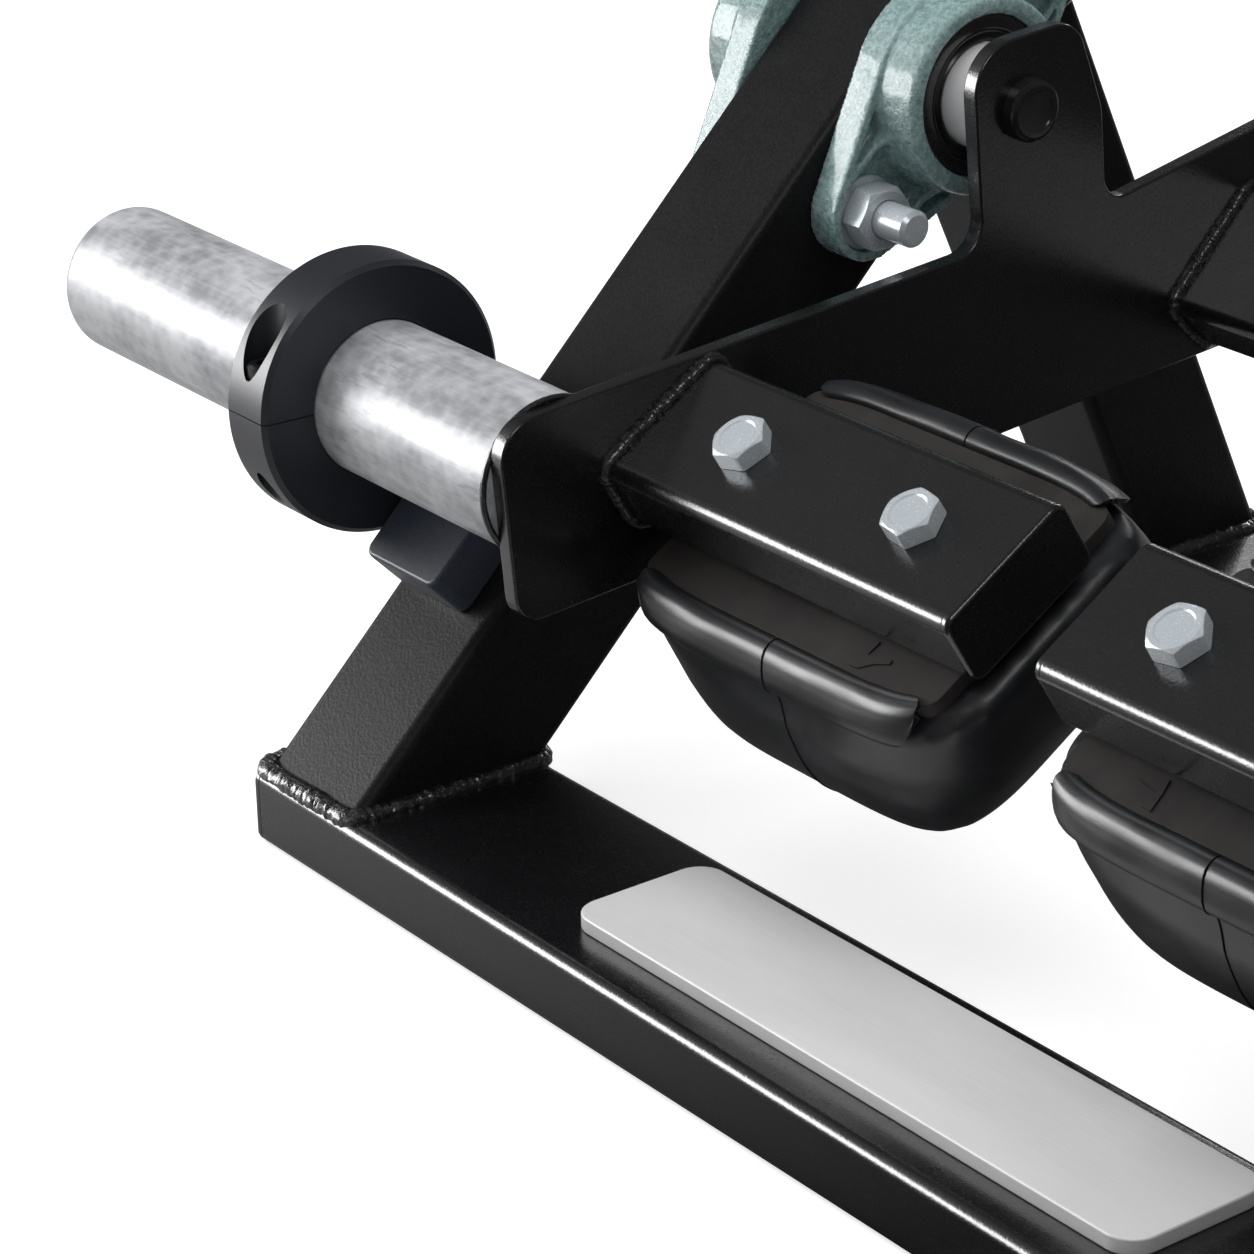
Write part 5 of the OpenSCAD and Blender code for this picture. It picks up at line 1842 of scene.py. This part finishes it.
@dataclass
class HornCollar(ArmAssembly):
    """Split clamp collar and its screw, which sits on the upper side of the split."""

    chamfer: float = 1.6
    split: float = 0.35
    split_turn: float = 174.0
    screw_r: float = 35.5
    screw_d: float = 8.0
    screw_l: float = 32.0
    head_d: float = 12.0
    bore_play: float = 0.05
    head_play: float = 1.0
    around: int = 48

    @property
    def body(self) -> str:
        """Name of the collar's body."""
        return f"{self.name}_collar_body"

    def build(self) -> None:
        """Builds the ring and its screw."""
        s, name = self.s, self.name
        start = s.leg_inset - s.collar_gap - s.collar_w
        frame = self.places.arm(self.side) @ shift(start, -s.horn_y, -s.horn_z) @ turn_x(self.split_turn)
        screw = frame @ shift(s.collar_w / 2, self.screw_r, 0) @ Matrix.Scale(-1, 4, (0, 0, 1))
        ring = self.shop.mesh_object(f"{name}_clamp_ring", self.ring().placed(frame @ along_x()))
        for k, cutter in enumerate(self.cutters(frame, screw)):
            self.shop.cut(ring, cutter, f"{name}_cutter_{k}")
        self.shop.finish_piece(ring, COLLAR, self.body, (f"{name}_collar",), bevel=0.35, sharp=28)
        self.piece("clamp_screw", self.screw().placed(screw), OXIDE, "collar_screw", sharp=28)

    def ring(self) -> Shape:
        """Turned ring with chamfered rims."""
        s = self.s
        r, c, w, bore = s.collar_d / 2, self.chamfer, s.collar_w, s.horn_d / 2 + self.bore_play
        return lathe([(bore, 1.0), (bore + 1.0, 0), (r - c, 0), (r, c), (r, w - c), (r - c, w), (bore + 1.0, w),
                      (bore, w - 1.0)], 192, closed=True)

    def cutters(self, frame: Matrix, screw: Matrix) -> list[Shape]:
        """What is cut away for the split, the screw and its head.

        Args:
            frame: Frame of the collar.
            screw: Frame of the screw, Z toward its head.

        Returns:
            The solids to cut away.
        """
        s = self.s
        seat, far = self.screw_l / 2 - self.screw_d, 60
        slit = prism([(-1, 10), (s.collar_w + 1, 10), (s.collar_w + 1, far), (-1, far)],
                     -self.split / 2, self.split / 2)
        hole, wide = self.screw_d / 2 + 0.1, self.head_d / 2 + self.head_play
        thread = lathe([(0, -far), (hole, -far), (hole, seat + 1), (0, seat + 1)], 48)
        head = lathe([(0, seat), (wide, seat), (wide, far), (0, far)], 64)
        return [slit.placed(frame), thread.placed(screw), head.placed(screw)]

    def screw(self) -> Shape:
        """Socket screw, Z toward its head."""
        top = self.screw_l / 2
        seat = top - self.screw_d
        r, d = self.head_d / 2, self.screw_d / 2
        socket = d * 0.82
        wide, n = socket + 0.5, self.around
        shape = lathe([(0, -top), (d - 0.8, -top), (d, -top + 0.8), (d, seat), (r, seat), (r, top - 0.9),
                       (r - 0.9, top), (wide, top)], n)
        cup = Shape().add([*(polar(wide, a, top) for a in turns(n)),
                           *(polar(socket, math.radians(60 * k), z) for z in (top, top - 4.5) for k in range(6))], ())
        for k in range(6):
            j, first, half = (k + 1) % 6, n // 6 * k, n // 12
            for i in range(first, first + n // 6):
                cup.faces.append((i, (i + 1) % n, n + (k if i < first + half else j)))
            cup.faces.append((first + half, n + j, n + k))
            cup.faces.append((n + k, n + j, n + 6 + j, n + 6 + k))
        cup.faces.append(tuple(n + 6 + k for k in range(6)))
        return shape.join(cup)


@dataclass
class StopBlocks(Assembly):
    """Moulded blocks on the front legs that the horns rest on."""

    edge: float = 1.3

    def build(self) -> None:
        """Builds both blocks, which close over the frame's own screws."""
        s = self.s
        outline = box_outline(s.stop_w, s.stop_l, s.stop_corner, 6)
        x = s.stop_inset - s.leg_size / 2 + s.stop_w / 2
        for side in SIDES:
            name = side.value
            block = prism(outline, 0, s.stop_t).placed(self.places.front_leg(side) @ shift(x, s.stop_mid, 0))
            self.shop.piece(f"{name}_rest_block", block, BLOCK, "frame", (f"{name}_stop_block",), bevel=self.edge,
                            segments=3, sharp=35)


@dataclass(frozen=True)
class PhotoCamera:
    """Camera that repeats the photograph's view."""

    place: tuple[float, float, float] = (754.54, -802.36, 574.89)
    yaw: float = 53.719
    pitch: float = 23.14
    roll: float = -1.205
    focal_px: float = 4137.3
    image_px: float = 1254.0
    sensor: float = 36.0

    def build(self) -> None:
        """Makes the camera and gives it to the scene."""
        yaw, pitch, roll = (math.radians(a) for a in (self.yaw, self.pitch, self.roll))
        ahead = Vector((-math.sin(yaw) * math.cos(pitch), math.cos(yaw) * math.cos(pitch), -math.sin(pitch)))
        level = Vector((math.cos(yaw), math.sin(yaw), 0))
        over = level.cross(ahead)
        right = level * math.cos(roll) + over * math.sin(roll)
        up = -level * math.sin(roll) + over * math.cos(roll)
        data = bpy.data.cameras.new("photo_camera")
        data.sensor_fit = "HORIZONTAL"
        data.sensor_width = self.sensor
        data.lens = self.focal_px / self.image_px * self.sensor
        data.clip_start = 0.02
        data.clip_end = 60.0
        obj = linked("photo_camera", data)
        turn = Matrix((right, up, -ahead)).transposed().to_4x4()
        obj.matrix_world = Matrix.Translation(Vector(self.place) * MM) @ turn
        bpy.context.scene.camera = obj


class Lit(Enum):
    """What a lamp is there for."""

    SHADING = "shading"
    SHEEN = "sheen"


@dataclass(frozen=True)
class SoftBox:
    """One soft lamp of the studio."""

    name: str
    place: tuple[float, float, float]
    size: tuple[float, float]
    power: float
    lit: Lit
    aim: tuple[float, float, float] = (-0.1, 0.0, 0.12)

    def build(self) -> None:
        """Makes the lamp, aimed at the machine."""
        data = bpy.data.lights.new(self.name, "AREA")
        data.shape = "RECTANGLE"
        data.size, data.size_y = self.size
        data.energy = self.power
        obj = linked(self.name, data)
        way = Vector(self.aim) - Vector(self.place)
        obj.rotation_euler = way.to_track_quat("-Z", "Y").to_euler()
        obj.location = self.place
        obj.visible_diffuse = self.lit is not Lit.SHEEN
        obj.visible_glossy = self.lit is not Lit.SHADING


@dataclass(frozen=True)
class Studio:
    """Pale floor, white surroundings and soft lamps."""

    lamps: tuple[SoftBox, ...] = (
        SoftBox("left wall", (-1.29, -1.10, 0.38), (1.3, 0.6), 29.0, Lit.SHEEN),
        SoftBox("right edge strip", (1.0, -0.58, 1.39), (0.6, 0.6), 4.5, Lit.SHEEN),
        SoftBox("rear strip", (-0.9, 1.5, 0.9), (1.0, 0.25), 5.0, Lit.SHEEN),
        SoftBox("left high box", (-1.35, -0.80, 1.25), (0.8, 0.7), 13.0, Lit.SHADING),
        SoftBox("top box", (-0.2, 0.1, 2.4), (2.2, 2.0), 30.0, Lit.SHADING),
    )
    floor_half: float = 8.0
    floor_grey: float = 0.62
    floor_glow: float = 0.72
    sky_soft: float = 0.42
    sky_sheen: float = 0.20
    sky_least: float = 0.08

    def build(self) -> None:
        """Makes the floor, the world and the lamps."""
        self.floor()
        self.world()
        for lamp in self.lamps:
            lamp.build()
        bpy.context.scene.view_settings.view_transform = "Standard"

    def floor(self) -> None:
        """Makes the floor, white to the camera but for the object's shadow."""
        mesh = bpy.data.meshes.new("floor")
        e = self.floor_half
        mesh.from_pydata([(-e, -e, 0), (e, -e, 0), (e, e, 0), (-e, e, 0)], [], [(0, 1, 2, 3)])
        obj = linked("floor", mesh)
        mat = bpy.data.materials.new("pale floor")
        mat.use_nodes = True
        w = Wiring(mat.node_tree)
        shader = mat.node_tree.nodes["Principled BSDF"]
        shader.inputs["Base Color"].default_value = (self.floor_grey, self.floor_grey, self.floor_grey, 1.0)
        shader.inputs["Roughness"].default_value = 0.9
        shader.inputs["Specular IOR Level"].default_value = 0.1
        path = w.node("ShaderNodeLightPath")
        seen = path.outputs["Is Camera Ray"]
        glow = w.node("ShaderNodeEmission")
        w.link(w.math("MULTIPLY", seen, self.floor_glow), glow.inputs["Strength"])
        both = w.node("ShaderNodeAddShader")
        w.link(shader.outputs[0], both.inputs[0])
        w.link(glow.outputs[0], both.inputs[1])
        axes = w.node("ShaderNodeSeparateXYZ")
        w.link(w.node("ShaderNodeTexCoord").outputs["Object"], axes.inputs[0])
        hidden = w.math("MULTIPLY", path.outputs["Is Glossy Ray"], w.spread(axes.outputs["X"], -0.35, 0.05, 0.25, 0.93))
        dim = w.node("ShaderNodeMixShader")
        w.link(hidden, dim.inputs[0])
        w.link(both.outputs[0], dim.inputs[1])
        w.link(self.black(w), dim.inputs[2])
        w.link(dim.outputs[0], mat.node_tree.nodes["Material Output"].inputs["Surface"])
        mesh.materials.append(mat)

    @staticmethod
    def black(w: Wiring) -> bpy.types.NodeSocket:
        """Adds an emission shader that gives no light."""
        made = w.node("ShaderNodeEmission")
        made.inputs["Strength"].default_value = 0.0
        return made.outputs[0]

    def world(self) -> None:
        """Makes the surroundings: white where they are seen, and brighter on the left in reflections."""
        world = bpy.data.worlds.new("studio")
        world.use_nodes = True
        w = Wiring(world.node_tree)
        back = world.node_tree.nodes["Background"]
        path = w.node("ShaderNodeLightPath")
        axes = w.node("ShaderNodeSeparateXYZ")
        w.link(w.node("ShaderNodeTexCoord").outputs["Generated"], axes.inputs[0])
        seen = w.math("MAXIMUM", path.outputs["Is Camera Ray"], path.outputs["Is Transmission Ray"])
        leftward = w.spread(axes.outputs["X"], 0.1, -0.6)
        forward = w.spread(axes.outputs["Y"], 0.15, -0.35)
        brighter = w.math("MULTIPLY", w.math("MULTIPLY", leftward, forward), self.sky_sheen)
        mirrored = w.math("ADD", self.sky_least, brighter)
        glossy = path.outputs["Is Glossy Ray"]
        soft = w.math("MULTIPLY", w.math("SUBTRACT", 1.0, glossy), self.sky_soft)
        unseen = w.math("ADD", w.math("MULTIPLY", glossy, mirrored), soft)
        strength = w.math("ADD", seen, w.math("MULTIPLY", w.math("SUBTRACT", 1.0, seen), unseen))
        w.link(strength, back.inputs["Strength"])
        back.inputs["Color"].default_value = (1, 1, 1, 1)
        bpy.context.scene.world = world


def main() -> None:
    """Builds the studio and every sub-assembly in order."""
    logging.basicConfig(level=logging.INFO, format="%(name)s %(message)s")
    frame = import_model()
    sizes = Sizes()
    places = Places(sizes)
    shop = Workshop(frame["nodes"])
    shop.dress_nodes()
    PhotoCamera().build()
    Studio().build()
    BaseFrame(sizes, places, shop).build()
    FlangeBearing(sizes, places, shop).build()
    for side in SIDES:
        WeightArm(sizes, places, shop, side).build()
        FootPad(sizes, places, shop, side).build()
        HornCollar(sizes, places, shop, side).build()
    StopBlocks(sizes, places, shop).build()


if __name__ == "__main__":
    main()
